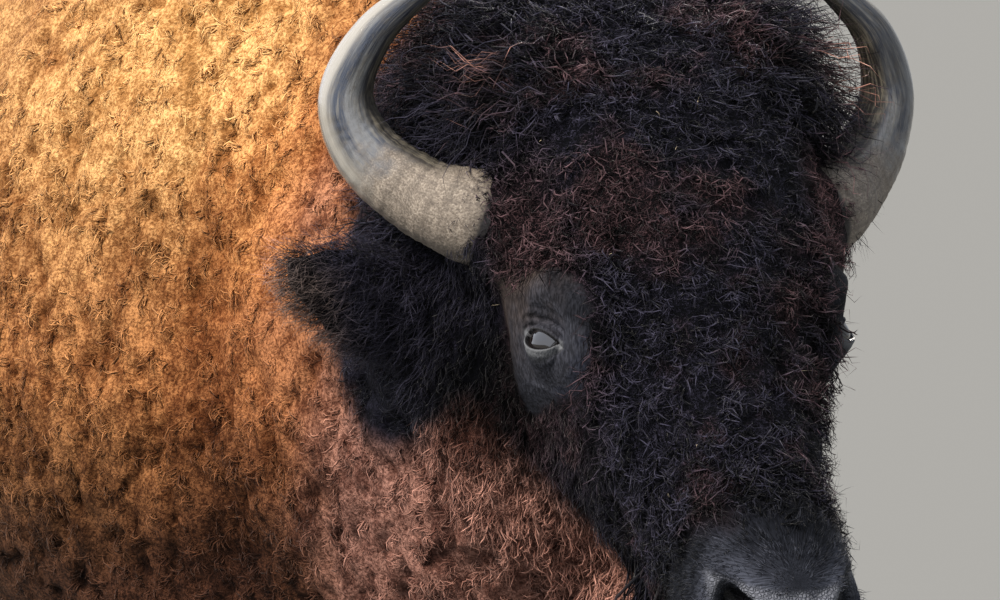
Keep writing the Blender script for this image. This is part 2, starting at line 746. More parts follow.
class BISON_OT_skin(bpy.types.Operator):
    """Make one skin for the whole body, inside the coat, with lids and muzzle"""
    bl_idname = "bison.skin"
    bl_label = "Skin"

    def execute(self, context):
        skin = fused_flesh()
        mesh = skin.data
        crumpled(mesh, *sunk(mesh))
        points, mask = faced(mesh)
        share = flesh_shares(mesh)
        zone = zones(points, share)
        shade = ((1 - 0.24 * mask.pop("fold")) * (1 + 1.3 * mask.pop("wing"))
                 * (1 - 0.45 * np.clip(read(mesh, "pits"), 0, 1.3))
                 * shading(points, share, furrows(points, share)))
        smooth = zone["flank"] + zone["hind"] + zone["snout"] + zone["fore"]
        frizzy = zone["mop"] + 0.8 * zone["ears"] + 0.6 * zone["cheek"]
        mask.update(bare=bare_round_eye(points), smooth=np.clip(smooth, 0, 1),
                    frizzy=np.clip(frizzy, 0, 1), shade=shade)
        for name, values in mask.items():
            attribute(mesh, name, values)
        mesh.shade_smooth()
        mesh.materials.clear()
        mesh.materials.append(skin_paint())
        placed(skin, "short_coat", *FLESH)
        return {"FINISHED"}


# --- node trees ----------------------------------------------------------------------------

class Tree:
    """Short ways to build a node tree."""

    def __init__(self, nodes):
        self.nodes = nodes.nodes
        self.links = nodes.links

    def add(self, kind, settings=None, **inputs):
        """A new node with its settings and inputs."""
        node = self.nodes.new(kind)
        for key, value in (settings or {}).items():
            setattr(node, key, value)
        self.fill(node, **inputs)
        return node

    def fill(self, node, **inputs):
        """Sets or links inputs by their names, with _ for each space."""
        for key, value in inputs.items():
            self.put(node, key.replace("_", " "), value)

    def put(self, node, key, value):
        """Links a socket to the input, or sets the input to a constant."""
        if isinstance(key, str):
            socket = next(s for s in node.inputs
                          if s.enabled and s.name.lower() == key.lower())
        else:
            socket = node.inputs[key]
        if isinstance(value, bpy.types.NodeSocket):
            self.links.new(value, socket)
        else:
            socket.default_value = value

    def math(self, operation, a, b=None):
        node = self.add("ShaderNodeMath", {"operation": operation})
        self.put(node, 0, a)
        if b is not None:
            self.put(node, 1, b)
        return out(node)

    def times(self, a, b):
        return self.math("MULTIPLY", a, b)

    def plus(self, a, b):
        return self.math("ADD", a, b)

    def minus(self, a, b):
        return self.math("SUBTRACT", a, b)

    def vector(self, operation, a, b=None):
        node = self.add("ShaderNodeVectorMath", {"operation": operation})
        self.put(node, 0, a)
        if b is not None:
            self.put(node, 3 if operation == "SCALE" else 1, b)
        return node.outputs["Vector"]

    def joined(self, x, y, z):
        return out(self.add("ShaderNodeCombineXYZ", X=x, Y=y, Z=z))

    def named(self, name, kind="FLOAT"):
        """An attribute of the mesh, in a geometry tree."""
        node = self.add("GeometryNodeInputNamedAttribute", {"data_type": kind}, Name=name)
        return out(node, "Attribute")


def out(node, name=None):
    """A node's first output, or the one of that name."""
    return next(s for s in node.outputs if s.enabled and name in (None, s.name))


# --- paints --------------------------------------------------------------------------------

WHORL = (0.0, 0.313, 0.050)     # where the hair of the nose parts, on the head

MARKED = ("gold", "orange", "rust", "brown", "low", "dark", "dark_red", "flank", "leg", "muzzle",
          "ear_rim")


class Paint(Tree):
    """Short ways to build a material or a shader group."""

    def hypot(self, a, b):
        return self.math("SQRT", self.plus(self.times(a, a), self.times(b, b)))

    def dot(self, a, b):
        node = self.add("ShaderNodeVectorMath", {"operation": "DOT_PRODUCT"})
        self.put(node, 0, a)
        self.put(node, 1, b)
        return node.outputs["Value"]

    def in_head(self, vector):
        """The parts of a vector along the three axes of the head."""
        return [self.dot(vector, tuple(axis)) for axis in (TO_LEFT, TO_NOSE, TO_FRONT)]

    def ramp(self, value, start, end, low=0.0, high=1.0):
        """Low before start, high after end, smooth between."""
        node = self.add("ShaderNodeMapRange", {"interpolation_type": "SMOOTHSTEP"})
        for key, given in (("Value", value), ("From Min", start), ("From Max", end),
                           ("To Min", low), ("To Max", high)):
            self.put(node, key, given)
        return node.outputs["Result"]

    def mix(self, share, a, b):
        """From colour a to colour b by share."""
        node = self.add("ShaderNodeMix", {"data_type": "RGBA"})
        self.put(node, 0, share)
        for key, given in ((6, a), (7, b)):
            if isinstance(given, tuple) and len(given) == 3:
                given = (*given, 1)
            self.put(node, key, given)
        return node.outputs[2]

    def blend(self, share, a, b):
        """From number a to number b by share."""
        node = self.add("ShaderNodeMix", {"data_type": "FLOAT"})
        for key, given in ((0, share), (2, a), (3, b)):
            self.put(node, key, given)
        return out(node)

    def noise(self, where, scale, detail, roughness=0.55, distortion=0.0, result="Fac"):
        node = self.add("ShaderNodeTexNoise", Vector=where, Scale=scale, Detail=detail,
                        Roughness=roughness, Distortion=distortion)
        return node.outputs[result]

    def place(self):
        return self.add("ShaderNodeTexCoord").outputs["Object"]

    def parts(self, vector):
        return self.add("ShaderNodeSeparateXYZ", Vector=vector).outputs

    def group(self, group, **inputs):
        return self.add("ShaderNodeGroup", {"node_tree": group}, **inputs).outputs[0]

    def attribute(self, name, vector=False):
        node = self.add("ShaderNodeAttribute", {"attribute_name": name})
        return node.outputs["Vector" if vector else "Fac"]

    def relief(self, shader, height, strength, distance):
        """Raises the surface a little by the height, in the shading only."""
        raised = self.add("ShaderNodeBump", Strength=strength, Distance=distance, Height=height)
        self.fill(shader, Normal=out(raised))


def shader_group(name, inputs, result):
    """A new shader group's tree, its inputs and the socket of its one output."""
    group = bpy.data.node_groups.new(name, "ShaderNodeTree")
    for label, (kind, value) in inputs.items():
        socket = group.interface.new_socket(label, in_out="INPUT",
                                            socket_type=f"NodeSocket{kind}")
        socket.default_value = value
    group.interface.new_socket(result.replace("Float", "Value"), in_out="OUTPUT",
                               socket_type=f"NodeSocket{result}")
    tree = Paint(group)
    return tree, tree.add("NodeGroupInput").outputs, tree.add("NodeGroupOutput").inputs[0]


def markings():
    """Shader group: the colour of the coat at a place on the body."""
    if "markings" in bpy.data.node_groups:
        return bpy.data.node_groups["markings"]
    given = {key: ("Color", (*getattr(settings().colours, key), 1)) for key in MARKED}
    tree, colour, result = shader_group("markings", given, "Color")
    whole = tree.place()

    def drifted(scale, size):
        drift = tree.vector("SUBTRACT", tree.noise(whole, scale, 3.0, result="Color"),
                            (0.5, 0.5, 0.5))
        return tree.vector("ADD", whole, tree.vector("SCALE", drift, size))

    def within(centre, radii, inner, outer, where):
        """1 inside an ellipsoid that lies along the head, 0 outside."""
        away = tree.vector("SUBTRACT", where, tuple(on_head(*centre)))
        scaled = [tree.math("DIVIDE", along, radius)
                  for along, radius in zip(tree.in_head(away), radii)]
        size = tree.add("ShaderNodeVectorMath", {"operation": "LENGTH"},
                        Vector=tree.joined(*scaled))
        return tree.ramp(size.outputs["Value"], outer, inner)

    place = drifted(6.0, 0.16)
    parts = tree.parts(place)
    y, z = parts["Y"], parts["Z"]
    above = tree.minus(z, BETWEEN_EYES.z)
    back = tree.plus(tree.minus(y, BETWEEN_EYES.y), tree.times(above, 0.35))
    coat = tree.mix(tree.ramp(back, 0.41, 0.62), colour["rust"], colour["orange"])
    coat = tree.mix(tree.ramp(back, 0.50, 0.72), coat, colour["gold"])
    patches = tree.ramp(tree.noise(place, 11.0, 3.0, 0.6), 0.52, 0.72)
    patches = tree.times(patches, tree.ramp(back, 0.33, 0.45))
    coat = tree.mix(tree.times(patches, 0.45), coat, colour["orange"])
    coat = tree.mix(tree.ramp(back, 0.80, 1.15, 0.0, 0.42), coat, colour["brown"])
    lower = tree.times(tree.ramp(z, 1.42, 1.10), tree.ramp(back, 0.30, 0.45))
    coat = tree.mix(tree.times(lower, 0.85), coat, colour["brown"])
    lowest = tree.times(tree.ramp(z, 1.12, 0.88), tree.ramp(back, 0.26, 0.46))
    lowest = tree.math("MAXIMUM", lowest, tree.ramp(z, 0.86, 0.70))
    coat = tree.mix(tree.times(lowest, 0.95), coat, colour["low"])
    rear = tree.plus(y, tree.times(z, -0.45))
    rear = tree.plus(rear, tree.times(tree.minus(tree.noise(whole, 4.0, 3.0, 0.6), 0.5), 0.55))
    rear = tree.ramp(rear, -0.80, -0.12)
    coat = tree.mix(rear, coat, colour["flank"])
    under = tree.ramp(z, 0.84, 0.62)
    coat = tree.mix(under, coat, colour["leg"])
    # the head: a dark mop and dark sides, with rust cheeks
    place = drifted(9.0, 0.06)
    local = tree.vector("SUBTRACT", place, tuple(BETWEEN_EYES))
    left, nose, front = tree.in_head(local)
    edge = tree.times(tree.minus(nose, 0.02), -0.64)
    edge = tree.math("MAXIMUM", tree.math("MINIMUM", edge, 0.02), -0.10)
    cheek = tree.ramp(tree.minus(front, edge), -0.012, -0.044)
    cheek = tree.times(cheek, tree.ramp(nose, 0.03, 0.11))
    ahead = tree.plus(nose, tree.times(tree.minus(0.10, tree.math("ABSOLUTE", left)), 3.0))
    cheek = tree.times(cheek, tree.ramp(ahead, 0.150, 0.085))
    outside = tree.plus(tree.math("ABSOLUTE", left), tree.times(nose, 0.3))
    cheek = tree.times(cheek, tree.ramp(outside, 0.145, 0.180))
    blotch = tree.ramp(tree.noise(whole, 7.0, 4.0, 0.65), 0.47, 0.60)
    width = tree.math("ABSOLUTE", left)
    beside = tree.times(tree.ramp(width, 0.095, 0.145), tree.ramp(nose, -0.20, -0.11, 0.0, 0.85))
    blotch = tree.math("MAXIMUM", tree.times(blotch, 0.8), beside)
    mop = tree.mix(blotch, colour["dark"], colour["dark_red"])
    thin = tree.times(tree.ramp(left, 0.115, 0.165), tree.ramp(nose, -0.20, -0.11))
    mop = tree.mix(thin, mop, tree.vector("SCALE", colour["dark_red"], 2.3))
    face = tree.mix(cheek, mop, colour["rust"])
    face = tree.mix(tree.ramp(nose, 0.215, 0.26), face, colour["muzzle"])
    head = within((0, -0.02, 0.0), (0.265, 0.46, 0.205), 0.90, 1.10, place)
    top = within((0, -0.38, 0.055), (0.34, 0.170, 0.190), 0.90, 1.10, place)
    head = tree.math("MAXIMUM", head, top)
    for sign in SIDES.values():
        poll = within((sign * 0.19, -0.29, -0.04), (0.115, 0.170, 0.150), 0.88, 1.12, place)
        head = tree.math("MAXIMUM", head, poll)
        nape = within((sign * 0.24, -0.44, -0.03), (0.17, 0.20, 0.17), 0.70, 1.25, place)
        coat = tree.mix(tree.times(nape, 0.65), coat, colour["brown"])
    chin = head_place(np.array([middle_of("beard")]))[0]
    beard = within(chin, (0.16, 0.20, 0.20), 0.75, 1.15, place)
    coat = tree.mix(tree.times(beard, 0.85), coat, colour["low"])
    coat = tree.mix(head, coat, face)
    for sign in SIDES.values():
        ear = within((sign * 0.225, -0.155, -0.125), (0.135, 0.125, 0.165), 0.80, 1.12, place)
        reach = tree.times(left, sign)
        reach = tree.plus(reach, tree.times(nose, 0.55))
        rim = tree.ramp(reach, 0.185, 0.245)
        furry = tree.mix(rim, colour["dark"], colour["ear_rim"])
        coat = tree.mix(ear, coat, furry)
    tree.links.new(coat, result)
    return bpy.data.node_groups["markings"]


def clumps():
    """Shader group: darker and lighter clumps of hair, two fingers wide."""
    if "clumps" not in bpy.data.node_groups:
        tree, given, result = shader_group(
            "clumps", {"Darkest": ("Float", 0.7), "Lightest": ("Float", 1.2)}, "Float")
        place = tree.place()
        level = tree.noise(place, 52.0, 3.0)
        tree.links.new(tree.ramp(level, 0.36, 0.60, given["Darkest"], given["Lightest"]), result)
    return bpy.data.node_groups["clumps"]


def lit_hair():
    """Shader group: a colour made lighter or darker. Darker hair is also richer in colour."""
    if "lit_hair" not in bpy.data.node_groups:
        tree, given, result = shader_group(
            "lit_hair", {"Color": ("Color", (1, 1, 1, 1)), "Value": ("Float", 1.0)}, "Color")
        colour = given["Color"]
        rich = tree.vector("SCALE", tree.vector("MULTIPLY", colour, colour), 1.5)
        kept = tree.mix(tree.ramp(given["Value"], 0.10, 0.90, 0.35, 1.0), rich, colour)
        tree.links.new(tree.vector("SCALE", kept, given["Value"]), result)
    return bpy.data.node_groups["lit_hair"]


def new_paint(name):
    """A new material, its tree and its shader."""
    material = bpy.data.materials.new(name)
    material.use_nodes = True
    tree = Paint(material.node_tree)
    shader = material.node_tree.nodes["Principled BSDF"]
    return material, tree, shader


BRIGHTEST = 3.0         # lightest a strand may be, in times its marking


def coat_paint(name, light, deep, uneven, plain=None):
    """Hair: dark at the root, lighter at the tip, each strand a little different."""
    if name in bpy.data.materials:
        return bpy.data.materials[name]
    material, tree, shader = new_paint(name)
    colour = (*plain, 1) if plain else tree.group(markings())
    along, strand, tone, shade = (tree.attribute(key)
                                  for key in ("along", "strand", "tone", "shade"))
    own = tree.plus(tree.times(strand, 0.6), tree.times(tone, 0.4))
    own = tree.math("POWER", own, 1.6)
    value = tree.ramp(own, 0.0, 0.8, 1 - uneven, 1 + 1.6 * uneven)
    value = tree.times(value, tree.ramp(along, 0.05, 0.85, deep, light))
    grain = tree.noise(tree.attribute("grain", True), 1.0, 2.0, 0.6)
    value = tree.times(value, tree.ramp(grain, 0.34, 0.66, 0.65, 1.30))
    value = tree.times(value, tree.group(clumps(), Darkest=0.70, Lightest=1.20))
    value = tree.math("MINIMUM", tree.times(value, shade), BRIGHTEST)
    colour = tree.group(lit_hair(), Color=colour, Value=value)
    tree.fill(shader, Base_Color=colour, Roughness=0.55, Sheen_Weight=0.04,
              Sheen_Roughness=0.35, Specular_IOR_Level=0.12)
    tree.relief(shader, grain, 0.5, 0.0006)
    return material


def skin_paint():
    """Wool seen between the tufts, short hair round the eyes, and leather on the muzzle."""
    material, tree, shader = new_paint("skin")
    colours = settings().colours
    marked = tree.group(markings())
    place = tree.place()
    bare, pad, hole, rim, wet, mouth, shade, smooth = (
        tree.attribute(key)
        for key in ("bare", "pad", "hole", "rim", "wet", "mouth", "shade", "smooth"))
    # curls of the underwool: small pits and crests
    swirl = tree.plus(tree.times(tree.noise(place, 85.0, 1.0), 34.0),
                      tree.times(tree.noise(place, 330.0, 2.0), 7.0))
    curl = tree.plus(tree.times(tree.math("SINE", swirl), 0.11), 0.5)
    fine = tree.noise(place, 260.0, 4.0, 0.70, 0.6)
    curl = tree.plus(curl, tree.times(tree.minus(fine, 0.5), 2.1))

    def crests(scale, width):
        """Thin curved lines, 1 along their middle."""
        level = tree.noise(place, scale, 2.0, 0.6, 0.8)
        return tree.ramp(tree.math("ABSOLUTE", tree.minus(level, 0.5)), width, 0.0)

    hooks = tree.math("MAXIMUM", crests(125.0, 0.030), crests(230.0, 0.045))
    hooks = tree.times(hooks, tree.ramp(fine, 0.38, 0.60, 0.25, 1.0))
    frizzy = tree.attribute("frizzy")
    value = tree.times(tree.ramp(curl, 0.10, 0.90, 0.35, 1.05),
                       tree.group(clumps(), Darkest=0.70, Lightest=1.10))
    curled = tree.times(tree.plus(0.12, tree.times(hooks, 2.6)),
                        tree.group(clumps(), Darkest=0.55, Lightest=1.20))
    value = tree.plus(value, tree.times(frizzy, tree.minus(curled, value)))
    under = tree.group(lit_hair(), Color=marked, Value=tree.times(value, shade))
    # short flat hair of flanks, hind legs and face
    along = tree.dot(place, (0.0, 0.92, -0.39))
    across = tree.dot(place, (0.0, 0.39, 0.92))
    parts = tree.parts(place)
    backward = tree.joined(parts["X"], across, tree.times(along, 0.13))
    backward = tree.noise(backward, 250.0, 3.0)
    downward = tree.vector("MULTIPLY", place, (1.0, 1.0, 0.15))
    downward = tree.noise(downward, 250.0, 3.0)
    lines = tree.mix(tree.ramp(parts["Z"], 0.80, 0.64), backward, downward)
    away = tree.vector("SUBTRACT", place, tuple(on_head(*WHORL)))
    spoke = tree.vector("SCALE", tree.vector("NORMALIZE", away), 0.10)
    spoke = tree.vector("ADD", spoke, tree.vector("SCALE", away, 0.22))
    spokes = tree.noise(spoke, 300.0, 3.0, 0.6)
    nose = tree.dot(tree.vector("SUBTRACT", place, tuple(BETWEEN_EYES)), tuple(TO_NOSE))
    lines = tree.mix(tree.ramp(nose, 0.14, 0.20), lines, spokes)
    sleek = tree.ramp(lines, 0.32, 0.64, 0.30, 1.60)
    sleek = tree.vector("SCALE", marked, tree.times(sleek, shade))
    under = tree.mix(smooth, under, sleek)
    # short hairs round the eye: fine streaks over charcoal, warmer above
    streak = tree.noise(tree.vector("MULTIPLY", place, (1.0, 1.0, 0.28)), 420.0, 2.0)
    hairs = tree.ramp(streak, 0.35, 0.68, 0.60, 1.5)
    cloud = tree.noise(place, 38.0, 3.0)
    low = tree.plus(nose, tree.times(tree.minus(cloud, 0.5), 0.10))
    tint = tree.mix(tree.ramp(low, 0.020, 0.045), tuple(colours.bare), (0.015, 0.0170, 0.026))
    tint = tree.mix(tree.ramp(low, 0.000, -0.085), tint, (0.033, 0.0260, 0.024))
    patch = tree.vector("SCALE", tint, tree.times(hairs, shade))
    colour = tree.mix(bare, under, patch)
    colour = tree.mix(rim, colour, (0.120, 0.128, 0.142))
    cells = tree.add("ShaderNodeTexVoronoi", {"feature": "DISTANCE_TO_EDGE"}, Vector=place,
                     Scale=330.0).outputs["Distance"]
    pebble = tree.ramp(cells, 0.0, 0.25, 0.62, 1.12)
    leather = tree.vector("SCALE", tuple(colours.leather), pebble)
    colour = tree.mix(pad, colour, leather)
    for mask, deep in ((hole, (0.004, 0.004, 0.005)), (mouth, (0.008, 0.007, 0.007)),
                       (wet, (0.008, 0.007, 0.007))):
        colour = tree.mix(mask, colour, deep)
    gloss = tree.math("MAXIMUM", tree.times(pad, 0.45), wet)
    tree.fill(shader, Base_Color=colour, Roughness=tree.ramp(gloss, 0.0, 1.0, 0.70, 0.18),
              Coat_Weight=tree.times(gloss, 0.6), Coat_Roughness=0.18, Specular_IOR_Level=0.08)
    wool = tree.mix(smooth, tree.mix(frizzy, curl, hooks), lines)
    height = tree.mix(pad, tree.mix(bare, wool, streak), tree.ramp(cells, 0.0, 0.30))
    tree.relief(shader, height, 0.8, 0.0020)
    return material


def horn_paint():
    """Cork-like and grey at the base, polished blue-grey above, pale outside, dark inside."""
    if "horn_shell" in bpy.data.materials:
        return bpy.data.materials["horn_shell"]
    material, tree, shader = new_paint("horn_shell")
    share, outer = tree.attribute("share"), tree.attribute("outer")
    place = tree.attribute("straight", True)
    stretched = tree.vector("MULTIPLY", place, (1.0, 1.0, 0.14))
    cloud = tree.noise(place, 28.0, 4.0, 0.6)
    grain = tree.noise(place, 520.0, 3.0, 0.65)
    streak = tree.noise(stretched, 210.0, 4.0, 0.65)
    broad = tree.noise(stretched, 44.0, 4.0, 0.6)
    border = tree.plus(share, tree.times(tree.minus(cloud, 0.5), 0.30))
    border = tree.plus(border, tree.times(outer, -0.04))
    polished = tree.ramp(border, 0.30, 0.43)
    ring = tree.plus(tree.times(share, 150.0), tree.times(cloud, 9.0))
    ring = tree.plus(tree.times(tree.math("SINE", ring), 0.5), 0.5)
    cork = tree.mix(tree.ramp(grain, 0.34, 0.66), (0.105, 0.086, 0.070),
                    tuple(settings().colours.horn))
    cork = tree.mix(tree.times(tree.ramp(ring, 0.3, 0.9), 0.30), cork, (0.070, 0.058, 0.048))
    cork = tree.mix(tree.times(tree.ramp(streak, 0.46, 0.66), 0.55), cork, (0.075, 0.062, 0.052))
    cork = tree.mix(tree.times(tree.ramp(grain, 0.60, 0.74), 0.45), cork, (0.42, 0.39, 0.35))
    mottle = tree.noise(place, 75.0, 5.0, 0.7)
    glassy = tree.mix(tree.ramp(broad, 0.42, 0.60), (0.016, 0.022, 0.038), (0.120, 0.126, 0.134))
    glassy = tree.mix(tree.times(tree.ramp(streak, 0.5, 0.70), 0.50), glassy, (0.20, 0.19, 0.165))
    glassy = tree.mix(tree.times(tree.ramp(mottle, 0.46, 0.66), 0.55), glassy,
                      (0.060, 0.054, 0.046))
    colour = tree.mix(polished, cork, glassy)
    pale = tree.times(tree.ramp(outer, 0.62, 0.93), tree.ramp(border, 0.28, 0.42))
    pale = tree.times(pale, tree.ramp(broad, 0.28, 0.5))
    colour = tree.mix(tree.times(pale, 0.62), colour, (0.36, 0.345, 0.31))
    inside = tree.times(tree.ramp(outer, -0.12, -0.55), tree.ramp(share, 0.16, 0.30))
    scratched = tree.mix(tree.ramp(streak, 0.42, 0.66), (0.014, 0.012, 0.010),
                         (0.105, 0.094, 0.072))
    colour = tree.mix(tree.times(inside, tree.ramp(share, 1.0, 0.8)), colour, scratched)
    collar = tree.plus(share, tree.times(streak, 0.006))
    colour = tree.mix(tree.ramp(collar, 0.144, 0.133), colour, (0.012, 0.010, 0.010))
    tip = tree.ramp(share, 0.90, 0.99)
    colour = tree.mix(tree.times(tip, 0.8), colour, (0.030, 0.029, 0.031))
    rough_base = tree.ramp(grain, 0.3, 0.7, 0.52, 0.75)
    sleek = tree.ramp(streak, 0.35, 0.75, 0.16, 0.42)
    unpolished = tree.math("MAXIMUM", tree.minus(1.0, polished), inside)
    tree.fill(shader, Base_Color=colour, Roughness=tree.blend(unpolished, sleek, rough_base),
              Coat_Weight=tree.times(tree.minus(1.0, unpolished), 0.4), Coat_Roughness=0.12)
    height = tree.blend(polished, tree.plus(grain, tree.times(ring, 0.6)), streak)
    tree.relief(shader, height, 0.55, 0.0012)
    return material


IRIS_EDGE = (0.0150, 0.0166)    # from the middle of the eye, where the white begins
PUPIL = (0.0085, 0.0042)        # half its length and half its height


def eye_paint():
    """Dark brown iris with a long level pupil under a clear, strongly reflecting front."""
    if "eyeball" in bpy.data.materials:
        return bpy.data.materials["eyeball"]
    material, tree, shader = new_paint("eyeball")
    place = tree.attribute("in_eye", True)
    parts = tree.parts(place)
    away = tree.hypot(parts["X"], parts["Y"])
    iris = tree.mix(tree.noise(place, 900.0, 3.0), (0.003, 0.0022, 0.0022),
                    (0.008, 0.0055, 0.0050))
    colour = tree.mix(tree.ramp(away, *IRIS_EDGE), iris, (0.006, 0.005, 0.005))
    hole = tree.hypot(tree.math("DIVIDE", parts["X"], PUPIL[0]),
                      tree.math("DIVIDE", parts["Y"], PUPIL[1]))
    colour = tree.mix(tree.ramp(hole, 1.05, 0.95), colour, (0.004, 0.004, 0.006))
    tree.fill(shader, Base_Color=colour, Roughness=0.12, Coat_Weight=1.0,
              Coat_Roughness=0.03, Coat_IOR=1.5)
    return material


def hoof_paint():
    """Dark worn horn with faint level rings and pale flecks."""
    material, tree, shader = new_paint("hoof_shell")
    place = tree.place()
    lines = tree.noise(tree.vector("MULTIPLY", place, (0.15, 0.15, 1.0)), 240.0, 3.0)
    flecks = tree.noise(place, 120.0, 4.0)
    colour = tree.mix(tree.ramp(lines, 0.35, 0.65), (0.010, 0.0085, 0.0080),
                      tuple(settings().colours.hoof))
    colour = tree.mix(tree.times(tree.ramp(flecks, 0.55, 0.75), 0.5), colour,
                      (0.055, 0.046, 0.038))
    tree.fill(shader, Base_Color=colour, Roughness=0.60, Specular_IOR_Level=0.20)
    tree.relief(shader, lines, 0.4, 0.001)
    return material


# --- horns, eyes and hooves ----------------------------------------------------------------

# left, along the face and to the front, for the middle line of one horn
HORN_LINE = np.array([
    (0.100, -0.122, -0.010), (0.168, -0.159, -0.011), (0.218, -0.204, -0.024),
    (0.260, -0.256, -0.020), (0.276, -0.299, 0.010), (0.253, -0.331, 0.060),
    (0.204, -0.356, 0.095), (0.168, -0.369, 0.110),
])
HORN_RINGS, HORN_SIDES = 150, 72
GROWTH = 0.0125         # from one growth ring to the next


def through(rows, count):
    """Points on a smooth line through the rows, evenly by row, and the share of each."""
    last = len(rows) - 1
    share = np.linspace(0, 1, count)
    row = np.minimum((share * last).astype(int), last - 1)
    t = (share * last - row)[:, None]
    before, start, end, after = (rows[np.clip(row + k, 0, last)] for k in (-1, 0, 1, 2))
    line = 0.5 * (2 * start + (end - before) * t
                  + (2 * before - 5 * start + 4 * end - after) * t ** 2
                  + (3 * start - before - 3 * end + after) * t ** 3)
    return line, share


def loft(rings):
    """Faces of a tube through rings of the same count, with both ends closed."""
    many, count = len(rings), len(rings[0])
    faces = []
    for r in range(many - 1):
        a, b = r * count, (r + 1) * count
        for i in range(count):
            j = (i + 1) % count
            faces.append((a + i, a + j, b + j, b + i))
    faces.append(tuple(reversed(range(count))))
    faces.append(tuple((many - 1) * count + i for i in range(count)))
    return faces


def horn(side, sign):
    """One horn round its middle line: ringed, cork-like root, smooth tip."""
    line, share = through(HORN_LINE * np.array((sign, 1, 1)), HORN_RINGS)
    tangent = unit(np.gradient(line, axis=0))
    centre = HORN_LINE.mean(axis=0) * np.array((sign, 1, 1)) + np.array((-0.05 * sign, -0.05, 0))
    outer = line - centre
    outer = unit(outer - tangent * np.sum(outer * tangent, axis=1, keepdims=True))
    across = np.cross(tangent, outer)
    length = np.concatenate([[0], np.cumsum(np.linalg.norm(np.diff(line, axis=0), axis=1))])
    swell = (1 - share ** 1.4) ** 0.95
    body = settings().body
    radius = body.horn_tip + (body.horn_root - body.horn_tip) * swell
    radius *= 1 + 0.10 * bump_at(share, 0.165, 0.060) - 0.20 * (1 - ramp(share, 0.06, 0.135))
    turn = np.linspace(0, 2 * math.pi, HORN_SIDES, endpoint=False)
    cos, sin = np.cos(turn)[None, :], np.sin(turn)[None, :]
    straight = np.stack(np.broadcast_arrays(
        0.04 * cos, 0.04 * sin, length[:, None]), -1).reshape(-1, 3)
    grid = (HORN_RINGS, HORN_SIDES)
    near_base = (1 - ramp(share, 0.25, 0.62))[:, None]
    inner = ramp(-cos, 0.25, 0.85)
    wander = rough(straight, 0.05, 4.0).reshape(grid)
    rings = np.sin(2 * math.pi * (length[:, None] / GROWTH + 0.9 * wander + 0.35 * cos))
    fine = rough(straight * np.array((1, 1, 0.25)), 0.006, 9.0).reshape(grid)
    cork = rough(straight, 0.0045, 2.0).reshape(grid)
    groove = rough(straight * np.array((1, 1, 0.10)), 0.0035, 6.0).reshape(grid)
    bump = (near_base * (0.0007 * rings * (0.4 + 0.6 * wander ** 2 + 0.5 * inner))
            + near_base * 0.0005 * cork + 0.00025 * fine
            + 0.0011 * groove * inner * (1 - ramp(share, 0.75, 0.95))[:, None]
            + 0.0012 * wander * near_base)
    size = radius[:, None] * (1 - 0.04 * inner) + bump * np.clip(radius[:, None] / 0.02, 0, 1)
    local = (line[:, None] + outer[:, None] * (size * cos)[..., None]
             + across[:, None] * (size * sin)[..., None]).reshape(-1, 3)
    points = np.array(BETWEEN_EYES) + local @ HEAD_AXES
    name = f"horn_{side}_shell"
    thing = new_object(name, closed_mesh(name, points, loft(points.reshape(*grid, 3))))
    attribute(thing.data, "share", np.repeat(share, HORN_SIDES))
    attribute(thing.data, "outer", np.tile(np.cos(turn), HORN_RINGS))
    attribute(thing.data, "straight", straight)
    thing.data.materials.append(horn_paint())
    placed(thing, "horn", f"horn_{side}")


class BISON_OT_horns(bpy.types.Operator):
    """Make the two horns, rough at the base and polished towards the tip"""
    bl_idname = "bison.horns"
    bl_label = "Horns"

    def execute(self, context):
        for side, sign in SIDES.items():
            horn(side, sign)
        return {"FINISHED"}


class BISON_OT_eyes(bpy.types.Operator):
    """Make the two eyeballs, each with a bulging cornea"""
    bl_idname = "bison.eyes"
    bl_label = "Eyes"

    def execute(self, context):
        for side, sign in SIDES.items():
            centre, along, upward, look = eye_axes(sign)
            turn = Matrix((along, upward, look)).transposed().to_4x4()
            ball = bmesh.new()
            bmesh.ops.create_uvsphere(ball, u_segments=72, v_segments=48, radius=EYE_RADIUS)
            for vert in ball.verts:
                tilt = math.acos(max(-1, min(1, vert.co.z / EYE_RADIUS)))
                vert.co *= 1 + 0.045 * math.exp(-(tilt / math.radians(30)) ** 4)
            own = np.array([vert.co[:] for vert in ball.verts])
            ball.transform(Matrix.Translation(centre) @ turn)
            thing = new_object(f"eye_{side}_ball", ball)
            attribute(thing.data, "in_eye", own)
            thing.data.shade_smooth()
            thing.data.materials.append(eye_paint())
            placed(thing, "eye", f"eye_{side}")
        return {"FINISHED"}


CLAW_SIDES, CLAW_RINGS = 40, 14
CLAW_ROOT = 0.020      # how far a claw goes up inside the foot


